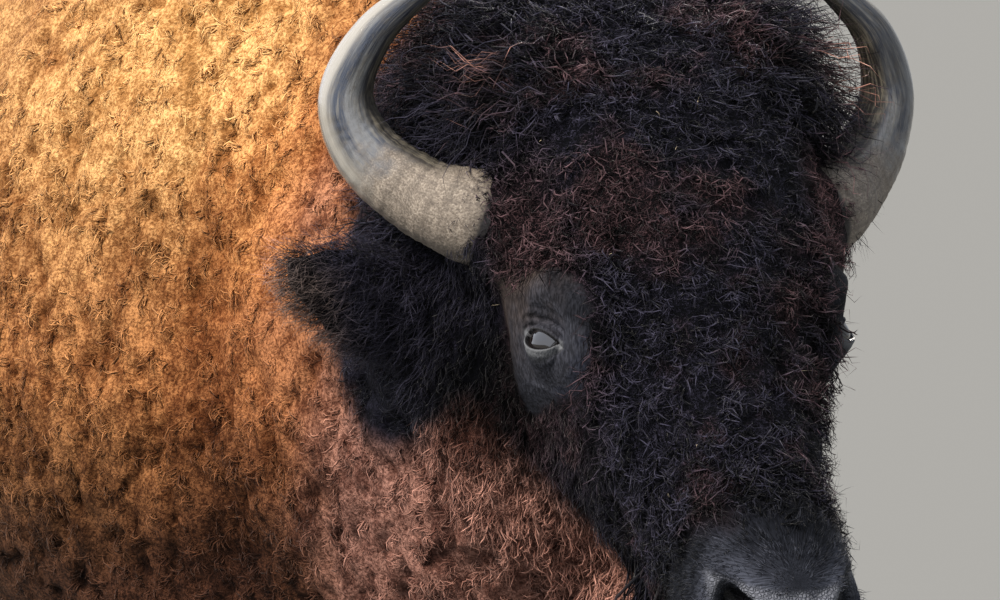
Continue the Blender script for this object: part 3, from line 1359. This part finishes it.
def claw(low, high, sign):
    """Points and faces of one claw in its box: flat sole, rounded toe, curved wall."""
    middle, half = (low + high) / 2, (high - low) / 2
    height = high[2] - low[2] + CLAW_ROOT
    rows = []
    for i in range(CLAW_RINGS):
        t = i / (CLAW_RINGS - 1)
        hidden = float(ramp(np.array(t), 0.80, 1.0))
        lean = 1 - 0.10 * t - 0.12 * t ** 3 - 0.30 * hidden
        edge = 1 - 0.10 * (1 - ramp(np.array(t), 0.0, 0.12))
        ridge = 1 + 0.006 * math.sin(t * 38)
        turn = np.linspace(0, 2 * math.pi, CLAW_SIDES, endpoint=False)
        across, along = np.cos(turn), np.sin(turn)
        toe = np.maximum(-along, 0)
        heel = np.maximum(along, 0)
        inner = np.where(across * sign < 0, 1.20 + 0.15 * heel, 1.0)
        x = across * inner * (1 - 0.34 * toe ** 2) * half[0] * edge * ridge
        x = x * (1 - 0.06 * t - 0.28 * hidden) - sign * 0.13 * half[0] * t
        y = along * half[1] * lean * edge * ridge + 0.16 * half[1] * t
        z = np.full(CLAW_SIDES, low[2] + t * height)
        rows.append(np.stack([middle[0] + x, middle[1] + y, z], 1))
    return np.concatenate(rows), loft(rows)


DEWCLAW = np.array((0.013, 0.011, 0.020))       # half its width, length and height
DEWCLAW_RINGS = ((-1, 0.35), (-0.85, 0.7), (-0.4, 0.95), (0.2, 1.0), (0.8, 0.8), (1.0, 0.4))


def dewclaw(spot):
    """Points and faces of one of the two small claws behind a foot."""
    turn = np.linspace(0, 2 * math.pi, 16, endpoint=False)
    rows = [np.stack([np.cos(turn) * r, np.sin(turn) * r, np.full(16, h)], 1) * DEWCLAW
            + spot + np.array((0, 0.010 * (1 - h), 0)) for h, r in DEWCLAW_RINGS]
    return np.concatenate(rows), loft(rows)


class BISON_OT_hooves(bpy.types.Operator):
    """Make the eight claws and the two dewclaws behind each foot"""
    bl_idname = "bison.hooves"
    bl_label = "Hooves"

    def execute(self, context):
        points, faces, nodes = [], [], []

        def gather(some, ring):
            start = sum(len(p) for p in points)
            points.append(some)
            faces.extend([tuple(i + start for i in face) for face in ring])

        for pair in ("front", "hind"):
            for side, sign in SIDES.items():
                boxes = []
                for place, way in (("outer", sign), ("inner", -sign)):
                    node = f"hoof_{pair}_{side}_{place}"
                    nodes.append(node)
                    low, high = (np.array(c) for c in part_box(node))
                    gather(*claw(low, high, way))
                    boxes.append((low, high))
                foot = (boxes[0][0] + boxes[1][1]) / 2
                heel = max(high[1] for _, high in boxes)
                for way in (1, -1):
                    gather(*dewclaw(np.array((foot[0] + way * 0.022, heel - 0.018, 0.085))))
        thing = new_object("hooves", closed_mesh("hooves", np.concatenate(points), faces))
        thing.data.set_sharp_from_angle(angle=math.radians(55))
        thing.data.materials.append(hoof_paint())
        placed(thing, "hoof", *nodes)
        return {"FINISHED"}


# --- lie, cover and markings of the coat ---------------------------------------------------

CROWN = (0.0, -0.40, 0.02)


def zones(points, share):
    """Smooth parts of the coat, each from 0 to 1, for every vertex of the skin."""
    nose, front = head_place(points).T[1:]
    x, y, z = points.T
    bare = bare_round_eye(points)
    head = np.clip(share["head"], 0, 1)
    edge = np.clip(-0.64 * (nose - 0.02), -0.09, 0.012)
    mop = ramp(front - edge, -0.014, 0.014)
    mop = np.maximum(mop * ramp(0.275 - nose, 0, 0.04), ramp(-nose, 0.175, 0.215))
    snout = ramp(nose, 0.215, 0.262)
    found = {
        "mop": head * mop * (1 - snout),
        "snout": head * snout,
        "cheek": head * (1 - mop) * (1 - snout),
        "bare": bare,
        "rim": bump_at(leaf_round_eye(points), 1.15, 0.22) * (bare < 0.9),
        "ears": share["ear_right"] + share["ear_left"],
        "neck": share["neck"],
        "beard": share["beard"],
        "tail": share["tail"],
    }
    trunk = share["trunk"]
    cape = 1 - ramp(y + 0.25 * (z - 1.1), -0.02, 0.30)
    under = 1 - ramp(z, 0.60, 0.74)
    found["cape"] = trunk * cape * (1 - under * ramp(0.24 - np.abs(x), 0, 0.06))
    found["flank"] = trunk * (1 - cape)
    fringe = ramp(0.20 - np.abs(x + 0.155 * ramp(-y, 0.45, 1.10)), 0, 0.05) * under
    found["fringe"] = (trunk * cape + share["neck"]) * fringe
    upper = ramp(z, 0.60, 0.72)
    arms = share["leg_front_right"] + share["leg_front_left"]
    found["fore"] = arms * (1 - upper)
    found["cape"] = found["cape"] + arms * upper
    found["hind"] = share["leg_hind_right"] + share["leg_hind_left"]
    return found


def inside_horns(left, nose):
    """1 on the sides of the crown that the horns curve round, 0 elsewhere."""
    return ramp(np.abs(left), 0.085, 0.135) * ramp(-nose, 0.165, 0.225)


def by_horns(points):
    """1 round the root of each horn, where the hair is short, 0 elsewhere."""
    found = np.zeros(len(points))
    for sign in SIDES.values():
        for along in (0.0, 0.5, 1.0):
            spot = np.array(on_head(sign * (0.135 + 0.055 * along), -0.142 - 0.030 * along,
                                    -0.002 - 0.012 * along))
            found = np.maximum(found, 1 - ramp(lengths(points - spot)[:, 0], 0.058, 0.092))
    return found


def lie_of(points, outward, zone):
    """The way the hair points at each place, along the skin."""
    local = head_place(points)
    left, nose = local.T[:2]
    count = len(points)

    def way(*vector):
        return np.tile(np.array(vector, float), (count, 1))

    def head_way(vectors):
        return vectors @ HEAD_AXES

    swirl = np.stack([rough(points, 0.11, seed, 1) for seed in (1.0, 2.0, 3.0)], 1)
    lie = way(0, 1, -0.42)
    neck = (zone["neck"] + zone["cape"])[:, None]
    lie = lie * (1 - neck) + neck * (way(0, 0.78, -0.78) + 0.55 * swirl)
    cheek = zone["cheek"][:, None]
    lie = lie * (1 - cheek) + cheek * (way(-0.05, 0.22, -1.0) + 0.35 * swirl)
    fall = unit(local - np.array(CROWN)) * np.array((1.0, 0.9, 0.8))
    mop = zone["mop"][:, None]
    aside = np.sign(left) * 1.6 * inside_horns(left, nose)
    fall = fall + np.stack([aside, 0.55 - 0.5 * np.abs(aside), np.zeros(count)], 1)
    lie = lie * (1 - mop) + mop * (head_way(fall) + 0.5 * swirl)
    part = unit(local - np.array(WHORL))
    part[:, 1] = np.minimum(part[:, 1], 0.5)
    snout = zone["snout"][:, None]
    lie = lie * (1 - snout) + snout * head_way(part + np.array((0, -0.25, 0)))
    down = np.clip(sum(zone[k] for k in ("fore", "hind", "tail", "beard", "fringe")), 0, 1)
    lie = lie * (1 - down[:, None]) + down[:, None] * (way(0, 0.18, -1.0) + 0.2 * swirl)
    for side, sign in SIDES.items():
        centre = np.array(eye_axes(sign)[0])
        away = points - centre
        over = ramp(leaf_place(points, sign)[1], -0.012, 0.014)
        near = ((1 - ramp(lengths(away)[:, 0], 0.055, 0.095)) * (1 - over))[:, None]
        lie = lie * (1 - near) + near * (unit(away) + np.array((0, 0, -0.3)))
        low, high = (np.array(c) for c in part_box(f"ear_{side}"))
        middle = (low + high) / 2
        root = np.array(on_head(sign * 0.12, -0.135, -0.118))
        outward_ear = (middle - root) / np.linalg.norm(middle - root)
        mine = np.clip(zone["ears"] * (sign * left > 0), 0, 1)[:, None]
        lie = lie * (1 - mine) + mine * (outward_ear + np.array((0, 0, -0.6)) + 0.25 * swirl)
    lie = lie - outward * np.sum(lie * outward, axis=1, keepdims=True)
    return unit(lie)


# --- tufts ---------------------------------------------------------------------------------

# strands, their thickness, width of the root, fan, lift at root and tip in degrees, wave,
# its turns, rings, and how many of the strands are broad locks
TUFTS = {
    "wool": (8, 0.00044, 0.0060, 1.20, 64, -26, 0.0030, 1.0, 4, 2),
    "frizz": (8, 0.00036, 0.0065, 1.30, 66, -14, 0.0044, 1.5, 4, 3),
    "long": (7, 0.00036, 0.0085, 0.95, 66, 8, 0.0064, 2.2, 6, 2),
    "wavy": (9, 0.00042, 0.0065, 0.60, 58, -18, 0.0032, 1.3, 3, 2),
    "lock": (8, 0.00125, 0.0095, 0.25, 30, -6, 0.0060, 1.5, 5, 2),
    "short": (4, 0.00085, 0.0110, 0.30, 13, -2, 0.0010, 0.7, 3, 0),
    "fine": (7, 0.00034, 0.0060, 0.35, 26, 2, 0.0006, 0.6, 2, 0),
    "fuzz": (9, 0.00030, 0.0085, 0.85, 62, 4, 0.0040, 1.4, 3, 0),
    "straw": (1, 0.00045, 0.0010, 0.60, 30, 10, 0.0016, 0.8, 4, 0),
}
LOCK_WIDTH, LOCK_DEPTH = 2.9, 0.9       # of a broad lock, in times the thickness
VARIANTS = 7            # of each kind of tuft
SIDES_OF_STRAND = 3
STEPS = 24              # points on the line that a strand follows
ROOT_DEPTH = 0.0025     # how far a strand starts under the skin


def tuft_mesh(name, kind, seed):
    """Closed tapering strands from one root. +X is the lie of the coat and +Z is outward."""
    strands, thick, spread, fan, low, high, wave, turns, rings, broad = TUFTS[kind]
    length = getattr(settings().hair, kind)
    rng = np.random.default_rng(seed)
    points, faces, uvs, along, tone, grain = [], [], [], [], [], []
    common = rng.normal(0, 0.4, 2)
    beat = rng.uniform(0, 2 * math.pi, 2)
    for k in range(strands):
        turn, far = rng.uniform(0, 2 * math.pi), spread * math.sqrt(rng.uniform(0, 1))
        root = np.array((far * math.cos(turn) - 0.15 * length, far * math.sin(turn), -ROOT_DEPTH))
        t = np.linspace(0, 1, STEPS)
        mine = length * rng.uniform(0.72, 1.15)
        lift = np.radians(low + (high - low) * t ** 0.8 + rng.normal(0, 7))
        yaw = rng.normal(0, fan) * t + 0.3 * common[0] * t - root[1] / length * 0.9 * t
        step = mine / (STEPS - 1)
        line = np.cumsum(np.stack([np.cos(lift) * np.cos(yaw), np.cos(lift) * np.sin(yaw),
                                   np.sin(lift)], 1) * step, 0) + root
        phase, spin = beat + rng.normal(0, 0.9, 2)
        angle = 2 * math.pi * turns * rng.uniform(0.8, 1.25) * t + phase
        size = wave * t ** 0.7 * rng.uniform(0.6, 1.2)
        line[:, 1] += size * (np.sin(angle) - math.sin(phase))
        line[:, 2] += 0.8 * size * (np.cos(angle + spin) - math.cos(phase + spin))
        line[:, 2] = np.maximum(line[:, 2], -ROOT_DEPTH + 0.002 * t)
        stops = np.linspace(0, 1, rings + 1) ** 0.92
        own = rng.uniform(0, 1)
        flat = (LOCK_WIDTH, LOCK_DEPTH) if k < broad else (1.0, 0.8)
        first = len(points)
        for share in stops:
            at = min(int(round(share * (STEPS - 1))), STEPS - 1)
            ahead, behind = line[min(at + 1, STEPS - 1)], line[max(at - 1, 0)]
            tangent = (ahead - behind) / np.linalg.norm(ahead - behind)
            side = np.cross(tangent, (0, 0, 1.0))
            side /= max(np.linalg.norm(side), 1e-6)
            up = np.cross(side, tangent)
            if share == 1:
                points.append(line[at])
                along.append(1.0)
                tone.append(own)
                grain.append((0, 40 * own, share * mine * 90))
                uvs.append(((k + 0.5) / strands, 1.0))
                continue
            radius = thick * (0.75 + 0.5 * share) * (1 - share ** 2.2) * rng.uniform(0.9, 1.1)
            for i in range(SIDES_OF_STRAND):
                a = 2 * math.pi * (i / SIDES_OF_STRAND) + (math.pi / 6 if k < broad else spin)
                points.append(line[at] + radius * (flat[0] * math.cos(a) * side
                                                   + flat[1] * math.sin(a) * up))
                grain.append((math.cos(a) * radius * flat[0] * 1800, 40 * own,
                              share * mine * 90))
                along.append(share)
                tone.append(own)
                uvs.append(((k + (i + 0.5) / SIDES_OF_STRAND) / strands, share))
        n = SIDES_OF_STRAND
        faces.append([first + i for i in reversed(range(n))])
        for r in range(rings - 1):
            for i in range(n):
                j = (i + 1) % n
                a, b = first + r * n, first + (r + 1) * n
                faces.append([a + i, a + j, b + j, b + i])
        last, tip = first + (rings - 1) * n, first + rings * n
        faces += [[last + i, last + (i + 1) % n, tip] for i in range(n)]
    mesh = closed_mesh(name, points, faces)
    attribute(mesh, "along", along)
    attribute(mesh, "strand", tone)
    attribute(mesh, "grain", grain)
    layer = mesh.attributes.new("tuft_uv", "FLOAT2", "CORNER")
    corner = np.empty(len(mesh.loops), np.int32)
    mesh.loops.foreach_get("vertex_index", corner)
    layer.data.foreach_set("vector", np.array(uvs, np.float32)[corner].ravel())
    return mesh


def triangles_of(mesh):
    return sum(len(p.vertices) - 2 for p in mesh.polygons)


def tuft_set(kind):
    """A collection of the variants of one kind of tuft."""
    name = f"tufts_{kind}"
    if name in bpy.data.collections:
        return bpy.data.collections[name]
    shelf = bpy.data.collections.new(name)
    for i in range(VARIANTS):
        mesh = tuft_mesh(f"{kind}_{i}", kind, 100 * len(name) + i)
        shelf.objects.link(bpy.data.objects.new(mesh.name, mesh))
    return shelf


PATCH = 0.003          # width of a tuft's patch on its map


def tuft_tree():
    """Sets tufts on a surface by its cover, lie, reach and rise."""
    name = "tufts_on_skin"
    if name in bpy.data.node_groups:
        return bpy.data.node_groups[name]
    group = bpy.data.node_groups.new(name, "GeometryNodeTree")
    group.is_modifier = True
    face = group.interface
    face.new_socket("Geometry", in_out="OUTPUT", socket_type="NodeSocketGeometry")
    for label, kind in (("Geometry", "Geometry"), ("Tufts", "Collection"),
                        ("Material", "Material"), ("Density", "Float"), ("Seed", "Int"),
                        ("Turn", "Float"), ("Patch", "Float")):
        face.new_socket(label, in_out="INPUT", socket_type=f"NodeSocket{kind}")
    tree = Tree(group)
    given = tree.add("NodeGroupInput").outputs
    spots = tree.add("GeometryNodeDistributePointsOnFaces", {"distribute_method": "RANDOM"},
                     Mesh=given["Geometry"], Seed=given["Seed"],
                     Density=tree.times(given["Density"], tree.named("cover")))

    def chance(low, high, shift, kind="FLOAT"):
        """A random number for each tuft. The shift tells one use from another."""
        seed = tree.add("FunctionNodeIntegerMath", {"operation": "ADD"})
        tree.put(seed, 0, given["Seed"])
        tree.put(seed, 1, shift)
        node = tree.add("FunctionNodeRandomValue", {"data_type": kind}, Min=low, Max=high,
                        Seed=out(seed))
        return out(node)

    def turned_by(turn, axis, angle):
        more = tree.add("FunctionNodeAxisAngleToRotation", Axis=axis, Angle=angle)
        return out(tree.add("FunctionNodeRotateRotation", {"rotation_space": "LOCAL"},
                            Rotation=turn, Rotate_By=out(more)))

    turn = out(tree.add("FunctionNodeAxesToRotation",
                        {"primary_axis": "Z", "secondary_axis": "X"},
                        Primary_Axis=out(spots, "Normal"),
                        Secondary_Axis=tree.named("lie", "FLOAT_VECTOR")))
    turn = turned_by(turn, (0, 0, 1), tree.times(given["Turn"], chance(-1.0, 1.0, 1)))
    turn = turned_by(turn, (0, 1, 0), chance(-0.25, 0.18, 2))
    size = tree.joined(tree.times(tree.named("reach"), chance(0.75, 1.25, 4)),
                       chance(0.8, 1.25, 3), tree.times(tree.named("rise"), chance(0.8, 1.2, 5)))
    shelf = tree.add("GeometryNodeCollectionInfo", Collection=given["Tufts"],
                     Separate_Children=True, Reset_Children=True)
    set_down = tree.add("GeometryNodeInstanceOnPoints", Points=out(spots, "Points"),
                        Instance=out(shelf), Pick_Instance=True,
                        Instance_Index=chance(0, VARIANTS - 1, 6, "INT"), Rotation=turn,
                        Scale=size)
    toned = tree.add("GeometryNodeStoreNamedAttribute",
                     {"data_type": "FLOAT", "domain": "INSTANCE"}, Name="tone",
                     Geometry=out(set_down), Value=chance(0.0, 1.0, 7))
    real = tree.add("GeometryNodeRealizeInstances", Geometry=out(toned))
    centred = tree.vector("SUBTRACT", tree.named("tuft_uv", "FLOAT_VECTOR"), (0.5, 0.5, 0))
    mapped = tree.vector("ADD", tree.named("root_uv", "FLOAT_VECTOR"),
                         tree.vector("SCALE", centred, given["Patch"]))
    last = out(tree.add("GeometryNodeStoreNamedAttribute",
                        {"data_type": "FLOAT2", "domain": "CORNER"}, Name="OFBake",
                        Geometry=out(real), Value=mapped))
    for spare in ("tuft_uv", "root_uv", "lie", "cover", "reach", "rise"):
        last = out(tree.add("GeometryNodeRemoveAttribute", Geometry=last, Name=spare))
    smooth = tree.add("GeometryNodeSetShadeSmooth", Geometry=last)
    painted = tree.add("GeometryNodeSetMaterial", Geometry=out(smooth),
                       Material=given["Material"])
    tree.links.new(out(painted), tree.add("NodeGroupOutput").inputs[0])
    return group


def set_inputs(modifier, **values):
    """Sets a modifier's inputs by the identifiers of their sockets."""
    for item in modifier.node_group.interface.items_tree:
        if item.item_type == "SOCKET" and item.in_out == "INPUT" and item.name in values:
            modifier[item.identifier] = values[item.name]


def patch_of_skin(name, fields):
    """The part of the skin with some cover, as its own mesh, unwrapped to its own map."""
    data = bpy.data.objects["skin"].data
    points = places(data)
    cover = fields["cover"]
    faces, used = [], {}
    for face in data.polygons:
        ring = face.vertices[:]
        if max(cover[v] for v in ring) > 0.02:
            faces.append([used.setdefault(v, len(used)) for v in ring])
    kept = np.array(list(used))
    mesh = bpy.data.meshes.new(name)
    mesh.from_pydata(points[kept].tolist(), [], faces)
    for key, values in fields.items():
        attribute(mesh, key, values[kept])
    mesh.uv_layers.new(name="root_uv")
    thing = new_object(name, mesh)
    bpy.context.view_layer.objects.active = thing
    for other in bpy.context.selected_objects:
        other.select_set(False)
    thing.select_set(True)
    bpy.ops.object.mode_set(mode="EDIT")
    bpy.ops.mesh.select_all(action="SELECT")
    bpy.ops.uv.smart_project(angle_limit=math.radians(75), island_margin=0.006)
    bpy.ops.object.mode_set(mode="OBJECT")
    thing.select_set(False)
    return thing


def covered_area(mesh):
    """Area weighted by cover, in square metres."""
    cover = read(mesh, "cover")
    return sum(p.area * sum(cover[v] for v in p.vertices) / len(p.vertices)
               for p in mesh.polygons)


def coat_piece(name, kind, fields, budget, turn, material, seed, slot):
    """One piece of the coat, with as many tufts as the budget of triangles allows."""
    thing = patch_of_skin(name, fields)
    shelf = tuft_set(kind)
    each = np.mean([triangles_of(o.data) for o in shelf.objects])
    density = settings().hair.cover * budget / each / covered_area(thing.data)
    modifier = thing.modifiers.new("tufts", "NODES")
    modifier.node_group = tuft_tree()
    set_inputs(modifier, Tufts=shelf, Material=material, Density=density, Seed=seed, Turn=turn,
               Patch=PATCH)
    settled(thing)
    placed(thing, slot)


def zone_fields():
    """The skin's points, the parts of the coat and the lie of the hair."""
    data = bpy.data.objects["skin"].data
    points, outward = places(data), normals(data)
    zone = zones(points, flesh_shares(data))
    zone["leather"] = np.clip(sum(read(data, key) for key in ("pad", "hole", "mouth")), 0, 1)
    return points, zone, lie_of(points, outward, zone)


def coats(points, zone):
    """Name, kind of tuft, budget, turn, reach, rise, slot and cover of each coat piece."""
    left, nose = head_place(points).T[:2]
    x, y, z = points.T
    open_skin = 1 - ramp(zone["bare"], 0.25, 0.75)
    right = ramp(-left, -0.004, 0.004)
    side = ramp(-x, -0.004, 0.004)
    body = (zone["neck"] + zone["cape"]) * (1 - np.clip(1.5 * zone["fringe"], 0, 1))
    body = body * open_skin
    seen = near_side(points)
    front_part = ramp(-y, 0.52, 0.53)
    sweep = ramp(nose, -0.215, -0.175)
    mop = zone["mop"] * open_skin
    small = 1 - 0.20 * ramp(nose, 0.12, 0.25)
    wide = ramp(np.abs(left), 0.075, 0.140) * ramp(-nose, 0.10, 0.20)
    inside = inside_horns(left, nose)
    trim = 1 - 0.08 * by_horns(points) * (1 - inside)
    over_nose = bump_at(nose, 0.200, 0.030)
    near_face = ramp(-left, -0.10, -0.04)
    crown_side = ramp(np.abs(left), 0.04, 0.12) * ramp(-nose, 0.12, 0.24)
    crown_side = crown_side * (0.6 + 0.4 * (left > 0))
    curls = 1 + 0.30 * rough(points, 0.035, 5.0)
    brow = bump_at(np.abs(left), 0.125, 0.045) * bump_at(nose, -0.01, 0.090)
    far_cape = body * (1 - seen)
    close = 1 - 0.45 * zone["rim"]
    return (
        ("crown_wool", "frizz", 150e3, 1.5, 1.15 + 0.5 * wide + 0.7 * crown_side,
         (1.2 + 0.7 * wide + 0.5 * crown_side) * curls, "dark_wool",
         mop * (1 - sweep) * (1 - 0.75 * inside)),
        ("horn_side_wool", "long", 96e3, 0.9, 1.10 + 0.75 * crown_side,
         (1.15 + 0.45 * crown_side) * curls, "dark_wool",
         mop * (1 - sweep) * inside * (1 + 0.5 * crown_side)),
        ("forehead_wool", "frizz", 190e3, 1.5, (small + 0.4 * brow + 0.6 * over_nose) * trim,
         (small + 0.9 * brow) * curls * trim, "dark_wool",
         mop * sweep * (0.70 + 0.30 * near_face) * (1 + zone["rim"] + 0.6 * over_nose)),
        ("cheek_wool_right", "wavy", 130e3, 0.5, 0.90 * close * trim, close * curls * trim,
         "dark_wool", zone["cheek"] * open_skin * right),
        ("cheek_wool_left", "wavy", 40e3, 0.5, 1.1, 1.0 * curls,
         "dark_wool", zone["cheek"] * open_skin * (1 - right)),
        ("muzzle_hair", "fine", 66e3, 0.35, 1 - 0.45 * ramp(nose, 0.275, 0.330), 1.1,
         "short_coat", zone["snout"] * (1 - zone["leather"])),
        ("ear_hair", "fuzz", 74e3, 0.8, 1.25, 1.1, "dark_wool", zone["ears"]),
        ("neck_wool_right", "wool", 184e3, 0.9, 1.0, curls,
         "cape_wool", body * seen * front_part),
        ("shoulder_wool_right", "wool", 182e3, 0.9, 1.0, curls,
         "cape_wool", body * seen * (1 - front_part)),
        ("cape_wool_left", "wool", 70e3, 0.9, 1.45, 1.3 * curls,
         "cape_wool", far_cape * (1 - side)),
        ("cape_wool_right", "wool", 45e3, 0.9, 1.45, 1.3 * curls,
         "cape_wool", far_cape * side),
        ("flank_hair", "short", 48e3, 0.4, 1.0, 0.8, "short_coat", zone["flank"]),
        ("hind_leg_hair", "short", 35e3, 0.4, 0.8, 0.7, "leg_hair", zone["hind"]),
        ("fore_leg_hair", "lock", 45e3, 0.3, 0.45 + 0.45 * ramp(z, 0.30, 0.55), 0.8,
         "leg_hair", zone["fore"] * ramp(z, 0.045, 0.075)),
        ("beard_locks", "lock", 35e3, 0.3, 1.1, 1.0, "dark_wool", zone["beard"]),
        ("brisket_fringe", "lock", 40e3, 0.3, 1.0, 1.0, "cape_wool", zone["fringe"]),
        ("tail_hair", "lock", 12e3, 0.25, 0.5 + 0.5 * (1 - ramp(z, 0.85, 1.0)), 0.7,
         "leg_hair", zone["tail"]),
    )


# light at the tip, at the root, and how uneven the strands are
SHADES = {"wool": (1.20, 0.62, 0.18), "frizz": (2.3, 0.25, 0.9), "long": (1.2, 0.14, 0.8),
          "wavy": (1.4, 0.30, 0.30), "lock": (1.3, 0.35, 0.4), "short": (1.05, 0.80, 0.12),
          "fine": (2.2, 0.6, 0.6), "fuzz": (2.1, 0.30, 0.5)}


class BISON_OT_coat(bpy.types.Operator):
    """Set the tufts of the coat on the skin, one piece for each part of the body"""
    bl_idname = "bison.coat"
    bl_label = "Coat"

    def execute(self, context):
        points, zone, lie = zone_fields()
        shade = read(bpy.data.objects["skin"].data, "shade")
        full = np.ones(len(points))
        rows = enumerate(coats(points, zone))
        for i, (name, kind, budget, turn, reach, rise, slot, cover) in rows:
            fields = {"cover": cover, "lie": lie, "reach": reach * full, "rise": rise * full,
                      "shade": shade}
            light, deep, uneven = SHADES[kind]
            paint = coat_paint(f"hair_{kind}", light, deep, uneven)
            coat_piece(name, kind, fields, budget, turn, paint, 11 * i + 3, slot)
        fields["cover"] = (zone["mop"] + 0.4 * zone["cheek"]) * (1 - zone["bare"])
        fields["rise"] = 2.2 * full
        paint = coat_paint("straw", 1.1, 0.8, 0.3, plain=settings().colours.straw)
        coat_piece("straws", "straw", fields, 1.5e3, 3.1, paint, 7, "dark_wool")
        return {"FINISHED"}


# --- stage ---------------------------------------------------------------------------------

FLOOR_HALF = 150        # metres
SENSOR = 36             # millimetres
LAMP_AWAY = 8           # metres. Where a sun stands has no effect on its light
ASIDE, ABOVE = 0.181, 0.035     # of the aim from the middle between the eyes, in the picture

# azimuth, height and width in degrees, colour, and whether it lights matt and glossy parts
SUNS = {
    "key": (-92, 46, 22, (1.0, 0.91, 0.80), True, False),
    "sky": (-124, 40, 172, (0.84, 0.88, 1.0), False, True),
    "rim": (128, 30, 8, (1.0, 0.93, 0.85), True, True),
}


def direction(azimuth, height):
    """The way out to an azimuth, counted from the animal's front, at a height over level."""
    return Vector((math.sin(azimuth) * math.cos(height),
                   -math.cos(azimuth) * math.cos(height), math.sin(height)))


class BISON_OT_studio(bpy.types.Operator):
    """Set the pale floor, the soft lights and the close camera"""
    bl_idname = "bison.studio"
    bl_label = "Studio"

    def execute(self, context):
        scene, given = context.scene, settings().studio
        floor = bmesh.new()
        bmesh.ops.create_grid(floor, x_segments=1, y_segments=1, size=FLOOR_HALF)
        ground = new_object("floor", floor)
        paint, tree, shader = new_paint("floor")
        tree.fill(shader, Base_Color=(*given.floor, 1), Roughness=1.0, Specular_IOR_Level=0.0)
        ground.data.materials.append(paint)

        scene.world = bpy.data.worlds.new("studio")
        scene.world.use_nodes = True
        back = scene.world.node_tree.nodes["Background"]
        back.inputs["Color"].default_value = (0.90, 0.94, 1.0, 1)
        back.inputs["Strength"].default_value = given.world

        towards = direction(given.azimuth, given.elevation)
        across = Vector((math.cos(given.azimuth), math.sin(given.azimuth), 0))
        upward = towards.cross(across)
        lens = bpy.data.cameras.new("camera")
        lens.lens, lens.sensor_width = given.lens, SENSOR
        lens.clip_start, lens.clip_end = 0.1, 500
        camera = bpy.data.objects.new("camera", lens)
        scene.collection.objects.link(camera)
        camera.location = BETWEEN_EYES + towards * given.distance
        aim = BETWEEN_EYES - across * ASIDE + upward * ABOVE
        camera.rotation_mode = "QUATERNION"
        camera.rotation_quaternion = (aim - camera.location).to_track_quat("-Z", "Y")
        scene.camera = camera

        for name, (azimuth, height, width, colour, matt, gloss) in SUNS.items():
            light = bpy.data.lights.new(name, "SUN")
            light.angle = math.radians(width)
            light.energy, light.color = getattr(given, name), colour
            thing = bpy.data.objects.new(name, light)
            scene.collection.objects.link(thing)
            way = direction(math.radians(azimuth), math.radians(height))
            thing.location = way * LAMP_AWAY
            thing.visible_diffuse, thing.visible_glossy = matt, gloss
            thing.rotation_mode = "QUATERNION"
            thing.rotation_quaternion = way.to_track_quat("Z", "Y")
        scene.view_settings.view_transform = "Standard"
        return {"FINISHED"}


class BISON_PT_panel(bpy.types.Panel):
    """Lists the pieces and the settings"""
    bl_idname = "BISON_PT_panel"
    bl_label = "Bison"
    bl_space_type = "VIEW_3D"
    bl_region_type = "UI"
    bl_category = "Bison"

    def draw(self, context):
        for kind in OPERATORS:
            self.layout.operator(kind.bl_idname)
        for group in BISON_PG_settings.__annotations__:
            box = self.layout.box()
            box.label(text=group.capitalize())
            rows = getattr(settings(), group)
            for row in type(rows).__annotations__:
                box.prop(rows, row)


GROUPS = (BISON_PG_colours, BISON_PG_hair, BISON_PG_body, BISON_PG_studio, BISON_PG_settings)
OPERATORS = (BISON_OT_studio, BISON_OT_skin, BISON_OT_horns, BISON_OT_eyes, BISON_OT_hooves,
             BISON_OT_coat)
CLASSES = (*GROUPS, *OPERATORS, BISON_PT_panel)


def register():
    for kind in CLASSES:
        bpy.utils.register_class(kind)
    bpy.types.Scene.bison = bpy.props.PointerProperty(type=BISON_PG_settings)


def unregister():
    del bpy.types.Scene.bison
    for kind in reversed(CLASSES):
        bpy.utils.unregister_class(kind)


def main():
    register()
    bpy.ops.bison.studio()
    bpy.ops.bison.skin()
    bpy.ops.bison.horns()
    bpy.ops.bison.eyes()
    bpy.ops.bison.hooves()
    bpy.ops.bison.coat()


if __name__ == "__main__":
    main()
